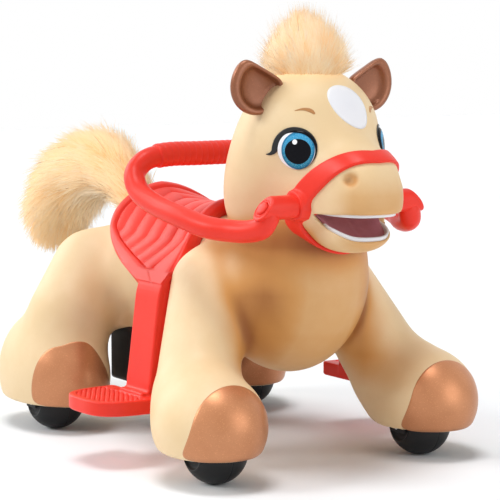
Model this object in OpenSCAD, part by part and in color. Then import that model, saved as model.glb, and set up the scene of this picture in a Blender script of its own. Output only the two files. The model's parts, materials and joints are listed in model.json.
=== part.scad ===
// Ride-on pony on ball wheels: a hollow moulded body with a saddle, stirrups, a rein hoop,
// a plush mane and a plush tail.
// Millimetres, +X forward, +Y to the pony's left, +Z up, floor at z = 0.
// Places are written from a point on the floor below the front axles and shifted at the end
// to the middle of the part.

/* [Body] */
// Centre of the chest
chest_at = [-99, 0, 294]; // [-300:1:400]
// Half sizes of the chest
chest_r = [132, 126, 146]; // [110:1:170]
// Height of the middle of the barrel of the body
barrel_z = 298; // [292:1:304]
// Half width and half height of the barrel of the body
barrel_r = [122, 96]; // [90:1:128]
// Middle of the rump forward of the rear axles
rump_fore = 68; // [60:1:76]
// Height of the middle of the rump
rump_z = 291; // [286:1:296]
// Half sizes of the rump
rump_r = [145, 124, 99]; // [90:1:170]
// Foot of the neck
neck_foot = [-80, 0, 330]; // [-120:1:360]
// Top of the neck
neck_top = [-45, 0, 450]; // [-90:1:480]
// Radius of the neck
neck_r = 103; // [90:1:112]
// Height of the flat seat under the head
neck_seat_z = 400; // [385:1:412]
// Wall of the moulded shells
wall = 4; // [3:0.5:5]

/* [Legs] */
// Front shoulder, from the floor under its wheel
front_hip_at = [-148, -79, 298]; // [-170:1:310]
// Radius of the front shoulder
front_hip_r = 60; // [50:1:68]
// Front knee, from the floor under its wheel
front_knee_at = [-74, -13, 141]; // [-90:1:200]
// Radius of the front knee
front_knee_r = 69; // [60:1:76]
// Centre of the front foot, from the floor under its wheel
front_foot_at = [-7, 8, 95]; // [-20:1:100]
// Half sizes of the front foot
front_foot_r = [106, 87, 88]; // [84:1:120]
// Haunch, from the floor under its wheel
rear_hip_at = [-22, -91, 277]; // [-100:1:290]
// Radius of the haunch
rear_hip_r = 76; // [66:1:84]
// Rear knee, from the floor under its wheel
rear_knee_at = [4, -32, 210]; // [-40:1:225]
// Radius of the rear knee
rear_knee_r = 75; // [66:1:82]
// Centre of the rear foot, from the floor under its wheel
rear_foot_at = [-32, -14, 95]; // [-40:1:100]
// Half sizes of the rear foot
rear_foot_r = [132, 90, 120]; // [86:1:140]
// Height of the soles over the floor
sole_z = 50; // [46:1:56]
// Height of the web that closes each wheel well
web_z = 141; // [139:1:150]
// Thickness of that web
web_t = 6; // [4:0.5:9]
// Front hoof cap: edge forward of the foot's middle, sweep back at the sole, height of the sweep
front_hoof = [61, 34, 66]; // [28:1:72]
// Rear hoof cap: edge forward of the foot's middle, sweep back at the sole, height of the sweep
rear_hoof = [104, 46, 109]; // [40:1:128]
// Thickness of a hoof cap
hoof_t = 2; // [1.5:0.5:3]

/* [Wheels] */
// Distance between the left and right front wheels
front_track = 410; // [404:1:418]
// Distance between the left and right rear wheels
rear_track = 412; // [404:1:420]
// Distance between the front and rear axles
wheelbase = 534; // [520:1:550]
// Radius of a ball wheel
wheel_r = 52; // [48:1:53]
// Width of a ball wheel
wheel_w = 90; // [80:1:92]
// Radius of the axles
axle_r = 5; // [4:0.5:6]
// Distance that a front wheel trails its swivel pin
trail = 8; // [4:1:9]
// Radius of the swivel pin
pin_r = 8; // [6:0.5:10]
// Radial running clearance of axles and pins
run_gap = 0.05; // [0.02:0.01:0.1]
// Thickness of fork cheeks and carrier plates
plate_t = 6; // [4:0.5:7]

/* [Head] */
// Centre of the skull
skull_at = [-35, 0, 545]; // [-50:1:560]
// Half sizes of the skull
skull_r = [112, 112, 111]; // [100:1:125]
// Centre of the jowls
jowl_at = [-76, 0, 452]; // [-90:1:465]
// Half sizes of the jowls
jowl_r = [101, 125, 125]; // [90:1:135]
// Centre of the cheeks
cheek_at = [25, 0, 442]; // [0:1:455]
// Half sizes of the cheeks
cheek_r = [62, 82, 55]; // [50:1:90]
// Centre of the muzzle
muzzle_at = [99, 0, 466]; // [0:1:480]
// Half sizes of the muzzle
muzzle_r = [78, 60, 67]; // [54:1:90]
// Height of the upper lip
lip_z = 430; // [424:1:436]
// Centre of the lower jaw
chin_at = [80, 0, 400]; // [0:1:406]
// Half sizes of the lower jaw
chin_r = [66, 58, 36]; // [34:1:70]
// Height of the lower lip at its front
rim_z = 387; // [384:1:391]
// Rise of the lower lip towards the corners of the mouth
rim_slope = 20; // [16:1:24]
// Width of a tooth band
tooth_w = 6; // [5:0.5:8]
// Half height of an eye
eye_h = 31; // [27:1:36]
// Half width of an eye
eye_w = 33; // [27:1:36]
// Rise of an eye lens over the face
eye_rise = 8; // [5:1:12]
// Centre of the left ear
ear_at = [-16, 113, 626]; // [-30:1:640]
// Radius of an ear
ear_r = 43; // [36:1:47]
// Depth of an ear's cup
ear_cup = 10; // [6:1:13]
// Thickness of an ear
ear_t = 16; // [15:1:22]
// Half sizes of the mane tuft
mane_r = [66, 56, 84]; // [45:1:95]
// Height of the middle of the mane tuft over the middle of the skull
mane_up = 116; // [105:1:125]

/* [Tail] */
// Greatest radius of the tail
tail_r = 80; // [60:1:88]
// Length of the tail behind its root
tail_l = 372; // [330:1:390]
// Rise of the tail over its root
tail_up = 92; // [80:1:104]

/* [Saddle] */
// Height of the saddle's underside at its middle
saddle_z = 402; // [401:1:408]
// Half width of the saddle at its flap tips
flap_y = 192; // [186:1:200]
// Height of the flap tips
flap_z = 289; // [280:1:296]
// Rear edge of the saddle forward of the rear axles
saddle_fore = 26; // [14:1:44]
// Length of the saddle along the middle
saddle_l = 224; // [214:1:234]
// Width of a flap tip
tip_w = 76; // [68:1:84]
// Clear distance between a flap tip and a front knee
tip_clear = 31; // [27:1:39]
// Rise of the cantle at the rear
cantle = 24; // [15:1:32]
// Thickness of the saddle frame under the pad
saddle_t = 6; // [4:0.5:8]
// Height of the rim over that
rim_h = 7; // [5:0.5:10]
// Depth of the frame's skirt
skirt = 20; // [10:1:26]
// Thickness of the seat pad
pad_t = 5; // [4:0.5:7]
// Depth of the pad's flutes
flute = 3; // [1:0.5:3.5]
// Number of flutes
flutes = 7; // [4:1:8]
// Height of the footrests' tops
rest_z = 115; // [105:1:122]
// Thickness of the footrests
rest_t = 25; // [18:1:30]
// Distance of the footrests' inner edge from the middle
rest_y = 222; // [216:1:230]
// Depth of a footrest outward
rest_w = 106; // [90:1:114]
// Half length of a footrest
rest_l = 77; // [64:1:80]
// Thickness of a stirrup strap
strap_t = 10; // [8:0.5:12]

/* [Reins] */
// Hinge axis of the reins forward of the front axles
hub_x = 51; // [44:1:58]
// Height of the hinge axis of the reins
hub_z = 439; // [434:1:444]
// Radius of a rein hub
hub_r = 19; // [17:0.5:20]
// Distance of the middle of a hub's face from the middle
hub_y = 150; // [145:1:158]
// Slant of a hub's face
hub_slant = 37; // [25:1:42]
// Radius of the bridle bosses
boss_r = 27; // [24:1:29]
// Outer face of the bridle bosses
boss_y = 92; // [88:1:96]
// Radius of the hinge pins
hinge_r = 6; // [5:0.5:8]
// Width of the bridle straps
band_w = 26; // [16:1:28]
// Thickness of the bridle straps
band_t = 5; // [3:0.5:6]
// Slope of the nose band from the hubs, at the nose and at the cheeks
nose_slope = [38, 50]; // [34:1:52]
// Slope of the chin strap from the hubs, at the chin and at the cheeks
chin_slope = [-82, -122]; // [-124:1:-68]
// Radius of the rein tube
tube_r = 18; // [15:0.5:19]
// Radius of a grip rib
grip_r = 22; // [21:0.5:24]
// Half length of the grip
grip_l = 116; // [90:1:120]
// Radius of a rein button
button_r = 11; // [9:0.5:13]
// Travel of a rein button
button_travel = 3; // [2:0.5:3.5]

/* [Drive] */
// Size of the belly tray
tray = [155, 176, 169]; // [150:1:178]
// Rear end of the belly tray behind the rear axles
tray_back = 11; // [5:1:14]
// Height of the belly tray's floor
tray_z = 79; // [77:1:84]
// Lower edge of the moulded collar round the belly tray
collar_z = 183; // [178:1:190]
// Wall of the belly tray
tray_wall = 4; // [3:0.5:6]
// Size of the battery
battery_size = [65, 151, 94]; // [50:1:160]
// Size of the control board
board_size = [70, 150, 1.6]; // [1:0.1:152]
// Radius of the speaker
speaker_r = 28; // [20:1:30]
// Radius of the charging socket's opening
socket_r = 6; // [4:0.5:8]
// Radius of a drive motor
motor_r = 18; // [14:1:19]
// Length of a drive motor
motor_l = 56; // [40:1:60]

/* [Hidden] */

// Clearance between neighbouring shells and mouldings
seat_gap = 0.3;
// Clearance between faceted skins that lie on each other
skin_gap = 1.2;
body_blend = 60;
neck_blend = 50;
foot_blend = 40;
sole_round = 12;
lip_round = 8;
muzzle_blend = 70;
cheek_blend = 40;
far = 320;
tan_plastic = "burlywood";
red_plastic = "tomato";
black_plastic = "#222222";
brown_plastic = "sienna";
steel = "silver";
fur = "moccasin";

// Distance-like fields: below zero inside, with soft joins

function ell_d(p, c, r) =
    let (q = [for (i = [0:2]) (p[i] - c[i]) / r[i]],
         k = norm(q),
         g = norm([for (i = [0:2]) q[i] / r[i]]))
    g < 0.00001 ? -min(r) : k * (k - 1) / g;
function rod_d(p, a, b, ra, rb) =
    let (ab = b - a, h = min(1, max(0, ((p - a) * ab) / (ab * ab))))
    norm(p - a - h * ab) - (ra + (rb - ra) * h);
function soft_min(a, b, k) = let (h = max(k - abs(a - b), 0) / k) min(a, b) - h * h * k / 4;
function soft_max(a, b, k) = -soft_min(-a, -b, k);

front_y = front_track / 2;
rear_x = -wheelbase;
rear_y = rear_track / 2;
barrel_share = 0.543;
barrel_at = [barrel_share * rear_x, 0, barrel_z];
barrel_half = [barrel_share * wheelbase, barrel_r[0], barrel_r[1]];
rump_at = [rear_x + rump_fore, 0, rump_z];
function torso_d(p) =
    let (trunk = soft_min(ell_d(p, chest_at, chest_r), ell_d(p, barrel_at, barrel_half), body_blend),
         back = soft_min(trunk, ell_d(p, rump_at, rump_r), body_blend),
         all = soft_min(back, rod_d(p, neck_foot, neck_top, neck_r, neck_r), neck_blend))
    soft_max(all, p[2] - neck_seat_z, lip_round);
function limb_d(p, leg) =
    soft_min(rod_d(p, leg[0], leg[2], leg[1], leg[3]), ell_d(p, leg[4], leg[5]), foot_blend);
function leg_d(p, leg) = soft_max(limb_d(p, leg), sole_z - p[2], sole_round);
function head_d(p) =
    let (skull = soft_min(ell_d(p, skull_at, skull_r), ell_d(p, jowl_at, jowl_r), body_blend),
         face = soft_min(skull, ell_d(p, cheek_at, cheek_r), cheek_blend),
         muzzle = soft_max(ell_d(p, muzzle_at, muzzle_r), lip_z - p[2], lip_round))
    soft_min(face, muzzle, muzzle_blend);
function jaw_d(p) = ell_d(p, chin_at, chin_r);
function face_d(p) = min(head_d(p), jaw_d(p));

torso_f = function (p) torso_d(p);
head_f = function (p) head_d(p);
face_f = function (p) face_d(p);

// Distance along d from o to where field f turns positive
function reach(f, o, d, lo = 0, hi = far, n = 15) =
    n == 0 ? (lo + hi) / 2
    : let (m = (lo + hi) / 2) f(o + m * d) < 0 ? reach(f, o, d, m, hi, n - 1) : reach(f, o, d, lo, m, n - 1);

function by_front(q) = [q[0], front_y + q[1], q[2]];
function by_rear(q) = [rear_x + q[0], rear_y + q[1], q[2]];
front_leg = [by_front(front_hip_at), front_hip_r, by_front(front_knee_at), front_knee_r,
    by_front(front_foot_at), front_foot_r];
rear_leg = [by_rear(rear_hip_at), rear_hip_r, by_rear(rear_knee_at), rear_knee_r,
    by_rear(rear_foot_at), rear_foot_r];
rear_foot = rear_leg[4];

// Stations from a to b, closer together near both ends
function stations(a, b, n) = [for (i = [1:n - 1]) a + (b - a) * (1 - cos(180 * i / n)) / 2];
function ring_x(f, x, z, n) =
    [for (i = [0:n - 1])
        let (d = [0, cos(360 * i / n), sin(360 * i / n)]) [x, 0, z] + d * reach(f, [x, 0, z], d)];
function ring_z(f, c, n) =
    [for (i = [0:n - 1]) let (d = [cos(360 * i / n), sin(360 * i / n), 0]) c + d * reach(f, c, d)];

// Closed skin over rings of points, with an end point at each side
module skin(rings, first, last) {
    n = len(rings[0]);
    m = len(rings);
    end = n * m + 1;
    points = concat([first], [for (r = rings) each r], [last]);
    sides = [for (j = [0:m - 2], i = [0:n - 1])
        let (k = (i + 1) % n, a = 1 + j * n, b = a + n)
        each [[a + i, b + i, b + k], [a + i, b + k, a + k]]];
    foot = [for (i = [0:n - 1]) [0, 1 + i, 1 + (i + 1) % n]];
    cap = [for (i = [0:n - 1]) [end, end - n + (i + 1) % n, end - n + i]];
    polyhedron(points, concat(sides, foot, cap), convexity = 8);
}

// A sheet of points with a second sheet behind it, closed along its edges
module slab(front, back) {
    m = len(front);
    n = len(front[0]);
    points = concat([for (r = front) each r], [for (r = back) each r]);
    s = m * n;
    faces = [for (j = [0:m - 2], i = [0:n - 2])
        let (a = j * n + i, b = a + n)
        each [[a, b, b + 1], [a, b + 1, a + 1], [s + a, s + b + 1, s + b], [s + a, s + a + 1, s + b + 1]]];
    ends = [for (i = [0:n - 2]) let (a = i, b = (m - 1) * n + i)
        each [[a, a + 1, s + a + 1], [a, s + a + 1, s + a], [b, s + b + 1, b + 1], [b, s + b, s + b + 1]]];
    rims = [for (j = [0:m - 2]) let (a = j * n, b = a + n, c = a + n - 1, d = c + n)
        each [[a, s + b, b], [a, s + a, s + b], [c, d, s + d], [c, s + d, s + c]]];
    polyhedron(points, concat(faces, ends, rims), convexity = 8);
}

module on_side(s) {
    if (s > 0) children();
    else mirror([0, 1, 0]) children();
}

// Body shells

torso_axis_z = 292;
torso_mid = (chest_at[0] + rump_at[0]) / 2;
module torso_form(inset, rings, sides) {
    f = function (p) torso_d(p) + inset;
    o = [torso_mid, 0, torso_axis_z];
    x0 = torso_mid - reach(f, o, [-1, 0, 0], 0, 2 * far);
    x1 = torso_mid + reach(f, o, [1, 0, 0], 0, 2 * far);
    skin([for (x = stations(x0, x1, rings)) ring_x(f, x, torso_axis_z, sides)],
        [x0, 0, torso_axis_z], [x1, 0, torso_axis_z]);
}
tray_rear = rear_x - tray_back;
tray_at = [tray_rear, -tray[1] / 2, tray_z];
module torso_outside() {
    torso_form(0, 26, 24);
    translate(tray_at + [-wall, -wall, collar_z - tray_z])
        cube([tray[0] + 2 * wall, tray[1] + 2 * wall, tray_z + tray[2] - collar_z]);
}

duct_r = 30;
duct_x = chest_at[0] + 15;
module torso_shell() {
    color(tan_plastic) difference() {
        torso_outside();
        torso_form(wall, 16, 16);
        translate(tray_at - [seat_gap, seat_gap, 0]) cube(tray + [2 * seat_gap, 2 * seat_gap, seat_gap]);
        translate([duct_x, 0, torso_axis_z]) cylinder(r = duct_r, h = neck_seat_z, $fn = 48);
    }
}

function between(a, b, t) = a + (b - a) * min(1, max(0, t));
function limb_axis(leg, z) =
    let (low = between(leg[4], leg[2], (z - leg[4][2]) / (leg[2][2] - leg[4][2])),
         c = z < leg[2][2] ? low : between(leg[2], leg[0], (z - leg[2][2]) / (leg[0][2] - leg[2][2])))
    [c[0], c[1], z];
module leg_outside(leg) {
    f = function (p) leg_d(p, leg);
    top = leg[0][2] + reach(f, leg[0], [0, 0, 1]);
    levels = concat([sole_z], stations(sole_z, top, 13));
    skin([for (z = levels) ring_z(f, limb_axis(leg, z), 24)], limb_axis(leg, sole_z), limb_axis(leg, top));
}

// The open well round a wheel, up to the web
module well(leg) {
    f = function (p) limb_d(p, leg) + wall;
    low = sole_z - 6;
    levels = [for (i = [0:5]) low + (web_z - low) * i / 5];
    skin([for (z = levels) ring_z(f, limb_axis(leg, z), 18)], limb_axis(leg, low), limb_axis(leg, web_z));
}

// The hollow of the limb over the web, clear of the torso
void_out = 36;
void_wall = 3 * wall;
module limb_void(leg) {
    f = function (p) max(limb_d(p, leg) + wall, void_wall - torso_d(p));
    low = web_z + web_t;
    high = leg[0][2] - 18;
    levels = [for (i = [0:6]) low + (high - low) * i / 6];
    function axis(z) = limb_axis(leg, z) + [0, void_out * (z - low) / (high - low), 0];
    skin([for (z = levels) ring_z(f, axis(z), 14)], axis(low), axis(high));
}

boss_out = pin_r + 6;
screw_r = 2.5;
screw_dx = 60;
screw_dy = 32;
screw_l = plate_t + web_t + 4;
module leg_shell(s, leg, well_x, well_y, hole_r) {
    color(tan_plastic) difference() {
        on_side(s) leg_outside(leg);
        torso_outside();
        on_side(s) well(leg);
        on_side(s) limb_void(leg);
        on_side(s) translate([well_x, well_y, web_z - 1]) cylinder(r = hole_r, h = web_t + 2, $fn = 48);
        on_side(s) plate_holes(leg, web_z - 1, screw_l - plate_t + 2);
    }
}
module front_leg_shell(s) {
    leg_shell(s, front_leg, trail, front_y, boss_out + seat_gap);
}
module rear_leg_shell(s) {
    leg_shell(s, rear_leg, rear_foot[0], rear_foot[1], motor_r + seat_gap);
}

// Screw places round a foot, inside the well
function plate_spots(leg) =
    [for (i = [-1, 1], j = [-1, 1]) [leg[4][0] + i * screw_dx, leg[4][1] + j * screw_dy]];
module plate_holes(leg, z, h) {
    for (q = plate_spots(leg)) translate([q[0], q[1], z]) cylinder(r = screw_r, h = h, $fn = 24);
}

// Hoof caps: the toe end of each foot, forward of an edge that sweeps back towards the sole

hoof_low = 2;
front_bow = 2;
rear_bow = 0.25;
front_top = 160;
rear_top = rear_hoof[2];
hoof_steps = 5;
function toe_point(leg, turn, open, off) =
    let (d = [cos(open), sin(open) * cos(turn), sin(open) * sin(turn)], f = function (p) leg_d(p, leg))
    leg[4] + d * (reach(f, leg[4], d) + off);
function on_toe(leg, edge, bow, top, q) =
    let (rise = q[2] - sole_z, fall = max(0, 1 - rise / edge[2]))
    rise > hoof_low && rise < top && q[0] > leg[4][0] + edge[0] - edge[1] * pow(fall, bow);
function toe_edge(leg, edge, bow, top, turn, lo = 4, hi = 88, n = 9) =
    n == 0 ? lo
    : let (m = (lo + hi) / 2)
      on_toe(leg, edge, bow, top, toe_point(leg, turn, m, 0)) ? toe_edge(leg, edge, bow, top, turn, m, hi, n - 1)
      : toe_edge(leg, edge, bow, top, turn, lo, m, n - 1);
module hoof(s, leg, edge, bow, top) {
    edges = [for (i = [0:31]) toe_edge(leg, edge, bow, top, 11.25 * i)];
    function ring(j, off) = [for (i = [0:31]) toe_point(leg, 11.25 * i, edges[i] * j / hoof_steps, off)];
    back = [for (j = [1:hoof_steps]) ring(j, skin_gap)];
    front = [for (j = [hoof_steps:-1:1]) ring(j, skin_gap + hoof_t)];
    color(brown_plastic) on_side(s) difference() {
        skin(concat(back, front), toe_point(leg, 0, 0, skin_gap), toe_point(leg, 0, 0, skin_gap + hoof_t));
        leg_outside(leg);
    }
}

// Head

head_axis_z = 500;
function head_axis(x) = between(head_axis_z, muzzle_at[2], (x - cheek_at[0]) / (muzzle_at[0] - cheek_at[0]));
module head_form(inset, rings, sides) {
    f = function (p) head_d(p) + inset;
    x0 = skull_at[0] - reach(f, [skull_at[0], 0, head_axis_z], [-1, 0, 0]);
    x1 = muzzle_at[0] + reach(f, muzzle_at, [1, 0, 0]);
    skin([for (x = stations(x0, x1, rings)) ring_x(f, x, head_axis(x), sides)],
        [x0, 0, head_axis_z], [x1, 0, muzzle_at[2]]);
}
module head_outside() {
    head_form(0, 26, 24);
}
mouth_x = cheek_at[0] + 45;
module head_shell() {
    color(tan_plastic) difference() {
        head_outside();
        torso_outside();
        head_form(wall, 14, 16);
        translate([duct_x, 0, neck_seat_z - 80]) cylinder(r = duct_r, h = 120, $fn = 48);
        translate([hub_x, 0, hub_z]) rotate([90, 0, 0])
            cylinder(r = hinge_r, h = 2 * hub_y, center = true, $fn = 48);
        translate([mouth_x, -far / 2, lip_z - 61]) cube([far, far, 60]);
    }
}
module jaw_form(inset) {
    f = function (p) jaw_d(p) + inset;
    x0 = chin_at[0] - reach(f, chin_at, [-1, 0, 0]);
    x1 = chin_at[0] + reach(f, chin_at, [1, 0, 0]);
    skin([for (x = stations(x0, x1, 12)) ring_x(f, x, chin_at[2], 18)],
        [x0, 0, chin_at[2]], [x1, 0, chin_at[2]]);
}
lip = 6;
mouth_floor = chin_at[2] - chin_r[2] + 14;
// A block whose underside lies up over the sloping rim of the lower lip
module over_rim(up, h) {
    translate([chin_at[0] + chin_r[0] - 10, 0, rim_z]) rotate([0, rim_slope, 0])
        translate([-far / 2, -far / 2, up]) cube([far, far, h]);
}
module lower_jaw() {
    color(tan_plastic) difference() {
        jaw_form(0);
        head_outside();
        torso_outside();
        over_rim(0, far);
        intersection() {
            jaw_form(lip);
            translate([0, -far / 2, mouth_floor]) cube([far, far, far]);
        }
    }
}
tooth_h = 8;
tooth_x = chin_at[0] - 14;
module lower_teeth() {
    color("white") difference() {
        intersection() {
            jaw_form(lip + seat_gap);
            over_rim(-tooth_h, 2 * tooth_h);
            translate([tooth_x, -far / 2, mouth_floor]) cube([far, far, lip_z - tooth_h - 2 - mouth_floor]);
        }
        jaw_form(lip + seat_gap + tooth_w);
        head_outside();
    }
}
function arc_band(r, w, a) = concat(
    [for (i = [-9:9]) [r[0] * cos(a * i / 9), r[1] * sin(a * i / 9)]],
    [for (i = [9:-1:-9]) [(r[0] - w) * cos(a * i / 9), (r[1] - w) * sin(a * i / 9)]]);
module upper_teeth() {
    r = muzzle_r - [20, 15, 0];
    color("white") difference() {
        translate([muzzle_at[0], 0, lip_z - tooth_h]) linear_extrude(2 * tooth_h)
            polygon(arc_band(r, tooth_w, 85));
        head_outside();
    }
}
module tongue() {
    r = [0.6 * (chin_r[0] - lip), 0.6 * (chin_r[1] - lip), 14];
    f = function (p) ell_d(p, [chin_at[0], 0, mouth_floor], r);
    levels = [0, 4, 8, 11];
    color("palevioletred")
        skin([for (z = levels) ring_z(f, [chin_at[0], 0, mouth_floor + z], 20)],
            [chin_at[0], 0, mouth_floor], [chin_at[0], 0, mouth_floor + r[2]]);
}

// Eyes: lenses that lie on the face

eye_from = skull_at + [20, 0, -17];
eye_dir = [0.60, 0.80, 0];
module eye(s) {
    side = [-eye_dir[1], eye_dir[0], 0];
    rows = 6;
    function at(t, a, h) =
        let (o = eye_from + side * (t * eye_w * cos(a)) + [0, 0, t * eye_h * sin(a)])
        o + eye_dir * (reach(head_f, o, eye_dir) + h);
    function lens(t) = skin_gap + 1 + eye_rise * sqrt(1 - t * t);
    front = [for (j = [rows:-1:1]) [for (i = [0:23]) at(j / rows, 15 * i, lens(j / rows))]];
    back = [for (j = [1:rows]) [for (i = [0:23]) at(j / rows, 15 * i, skin_gap)]];
    color("deepskyblue") difference() {
        on_side(s) skin(concat(back, front), at(0, 0, skin_gap), at(0, 0, lens(0)));
        head_outside();
    }
}

// Ears: round cups that face forward, with a straight upper edge down to the head

ear_face = [0.99, 0.10, -0.05];
module ear(s) {
    side = cross([0, 0, 1], ear_face);
    up = cross(ear_face, side);
    rows = 6;
    function bump(a, at, wide) = exp(-pow((a - at) / wide, 2));
    function full(a) = 1.07 + 0.06 * bump(a, 53, 25);
    function chop(a) = 0.72 / max(0.2, cos(a - 118.6));
    function radius(a) = ear_r * pow(pow(full(a), -10) + pow(chop(a), -10), -0.1);
    function at(t, a, h) = ear_at + (side * cos(a) + up * sin(a)) * (t * radius(a)) + ear_face * h;
    function cup(t) = t > 0.72 ? 0 : -ear_cup * (1 - pow(t / 0.72, 4));
    function shell(t) = -ear_t + 8 * pow(t, 4);
    back = [for (j = [1:rows]) [for (i = [0:23]) at(j / rows, 15 * i, shell(j / rows))]];
    front = [for (j = [rows:-1:1]) [for (i = [0:23]) at(j / rows, 15 * i, cup(j / rows))]];
    color(brown_plastic) difference() {
        on_side(s) skin(concat(back, front), at(0, 0, shell(0)), at(0, 0, cup(0)));
        head_outside();
    }
}

// Plush tuft and tail

module mane() {
    c = [skull_at[0] - 8, 0, skull_at[2] + mane_up];
    f = function (p) ell_d(p, c, mane_r);
    z0 = c[2] - mane_r[2];
    z1 = c[2] + mane_r[2];
    color(fur) difference() {
        skin([for (z = stations(z0, z1, 10)) ring_z(f, [c[0], 0, z], 16)], [c[0], 0, z0], [c[0], 0, z1]);
        head_outside();
    }
}

function bend(p, i, t) =
    let (n = len(p) - 1, a = p[max(0, i - 1)], b = p[i], c = p[min(n, i + 1)], d = p[min(n, i + 2)])
    0.5 * (2 * b + (c - a) * t + (2 * a - 5 * b + 4 * c - d) * t * t + (3 * b - a - 3 * c + d) * t * t * t);
function route(p, steps) =
    concat([for (i = [0:len(p) - 2], k = [0:steps - 1]) bend(p, i, k / steps)], [p[len(p) - 1]]);
function heading(p, i) = let (d = p[min(len(p) - 1, i + 1)] - p[max(0, i - 1)]) d / norm(d);
function hoop_ring(c, t, r, n) =
    let (a = cross([0, 0, 1], t), u = a / norm(a), v = cross(t, u))
    [for (i = [0:n - 1]) c + r * (u * cos(360 * i / n) + v * sin(360 * i / n))];

tail_root = [rump_at[0] - rump_r[0] + 46, 0, rump_at[2] + 70];
// Place on the tail, as shares of its length and rise, with a share of its greatest radius
function on_tail(back, up, share) = [tail_root[0] - back * tail_l, 0, tail_root[2] + up * tail_up, share];
tail_line = [on_tail(0, 0, 0.35), on_tail(0.17, 0.68, 0.64), on_tail(0.38, 1, 0.94), on_tail(0.61, 0.8, 1),
    on_tail(0.81, 0.3, 0.92), on_tail(0.91, -0.22, 0.66), on_tail(0.94, -0.68, 0.24)];
tail_path = [for (q = route(tail_line, 3)) [q[0], 0, q[2]]];
tail_share = [for (q = route(tail_line, 3)) q[3]];
tail_rings = [for (i = [0:len(tail_path) - 1])
    let (t = heading(tail_path, i), u = cross([0, 1, 0], t))
    [for (k = [0:15])
        tail_path[i] + tail_r * tail_share[i] * ([0, 1, 0] * cos(22.5 * k) - u * sin(22.5 * k))]];
tail_tip = on_tail(0.95, -0.86, 0);
tail_back = min([for (r = tail_rings, q = r) q[0]]);
module tail() {
    color(fur) difference() {
        skin(tail_rings, tail_path[0], [tail_tip[0], 0, tail_tip[2]]);
        torso_outside();
    }
}

// Saddle: an arched band that narrows to a flap tip on each side

function curve(a, b, c, d, t) =
    a * pow(1 - t, 3) + 3 * b * t * pow(1 - t, 2) + 3 * c * t * t * (1 - t) + d * pow(t, 3);
function arch(t) = let (s = abs(t))
    [sign(t) * curve(0, 0.48 * flap_y, 0.67 * flap_y, flap_y, s),
     curve(saddle_z, saddle_z, 0.42 * saddle_z + 0.58 * flap_z, flap_z, s)];
function arch_out(t) = let (d = arch(t + 0.002) - arch(t - 0.002), n = [-d[1], d[0]]) n / norm(n);
saddle_rear = rear_x + saddle_fore;
saddle_front = saddle_rear + saddle_l;
tip_front = front_leg[2][0] - front_knee_r - tip_clear;
tip_rear = tip_front - tip_w;
function edge_rear(t) = saddle_rear + (tip_rear - saddle_rear) * pow(abs(t), 3.5);
function edge_front(t) = saddle_front + (tip_front - saddle_front) * (1 - pow(1 - abs(t), 1.5));
function dish(w, t) =
    (cantle * pow(max(0, 0.55 - w) / 0.55, 2) + 0.3 * cantle * pow(max(0, w - 0.55) / 0.45, 2))
    * pow(1 - abs(t), 1.2);
function saddle_at(t, w, h) =
    let (q = arch(t), n = arch_out(t))
    [edge_rear(t) + (edge_front(t) - edge_rear(t)) * w, q[0] + n[0] * h, q[1] + n[1] * h + dish(w, t)];
function near_body(p) = min(torso_d(p), leg_d([p[0], abs(p[1]), p[2]], front_leg));
function skirt_h(t, w) = -max(0, min(skirt, near_body(saddle_at(t, w, 0)) - skin_gap));
rim_share = 0.1;
tip_share = 0.88;
flap_steps = 16;
flap_ts = [for (i = [-flap_steps:flap_steps]) i / flap_steps];
floor_steps = 8;
floor_ws = [for (i = [0:floor_steps]) rim_share + (1 - 2 * rim_share) * i / floor_steps];
rim_ws = concat([0, 0.03, rim_share - 0.03], floor_ws, [1.03 - rim_share, 0.97, 1]);
function on_rim(t, w) = w < rim_share - 0.01 || w > 1.01 - rim_share || abs(t) > tip_share;
function at_edge(w) = w < 0.05 || w > 0.95;
module saddle_frame() {
    top = [for (t = flap_ts) [for (w = rim_ws)
        saddle_at(t, w, saddle_t + (on_rim(t, w) ? rim_h : 0) - (w == 0 || w == 1 ? 2 : 0))]];
    low = [for (t = flap_ts) [for (w = rim_ws) saddle_at(t, w, at_edge(w) ? skirt_h(t, w) : 0)]];
    color(red_plastic) difference() {
        slab(top, low);
        for (s = [-1, 1]) on_side(s) leg_outside(front_leg);
    }
}

pad_share = rim_share + 0.012;
pad_gap = 0.5;
pad_end = 13;
// Slot in the seat: along, across, and its place forward of the saddle's rear edge
slot = [4, 18, 88];
module saddle_pad() {
    cols = 4 * flutes;
    ws = [for (i = [0:cols]) pad_share + (1 - 2 * pad_share) * i / cols];
    ts = [for (i = [-pad_end:pad_end]) i / flap_steps];
    function rise(i) = saddle_t + pad_gap + pad_t + flute * (abs(sin(45 * i)) - 1);
    top = [for (t = ts) [for (i = [0:cols]) saddle_at(t, ws[i], rise(i))]];
    low = [for (t = ts) [for (i = [0:cols]) saddle_at(t, ws[i], saddle_t + pad_gap)]];
    color(red_plastic) difference() {
        slab(top, low);
        translate([saddle_rear + slot[2], 0, saddle_z]) cube([slot[0], slot[1], 8 * pad_t], center = true);
    }
}

// Stirrups: a strap down from each flap tip with a footrest at its foot

rest_x = front_leg[2][0] - front_knee_r - 7 - rest_l;
module stirrup() {
    out = arch_out(1);
    drop = atan2(out[1], out[0]);
    color(red_plastic) union() {
        hull() {
            translate([tip_rear, flap_y + seat_gap, flap_z - 1]) rotate([drop - 90, 0, 0])
                cube([tip_w, strap_t, 1]);
            translate([tip_rear, rest_y - strap_t, rest_z - rest_t]) cube([tip_w, strap_t, rest_t]);
        }
        translate([rest_x, rest_y - strap_t / 2, rest_z - rest_t]) linear_extrude(rest_t)
            polygon(concat([[rest_l, 0], [rest_l, strap_t]],
                [for (a = [6:6:174]) [rest_l * sign(cos(a)) * pow(abs(cos(a)), 0.57),
                    strap_t + (rest_w - strap_t / 2) * pow(sin(a), 0.57)]],
                [[-rest_l, strap_t], [-rest_l, 0]]));
    }
}

// Bridle

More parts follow.
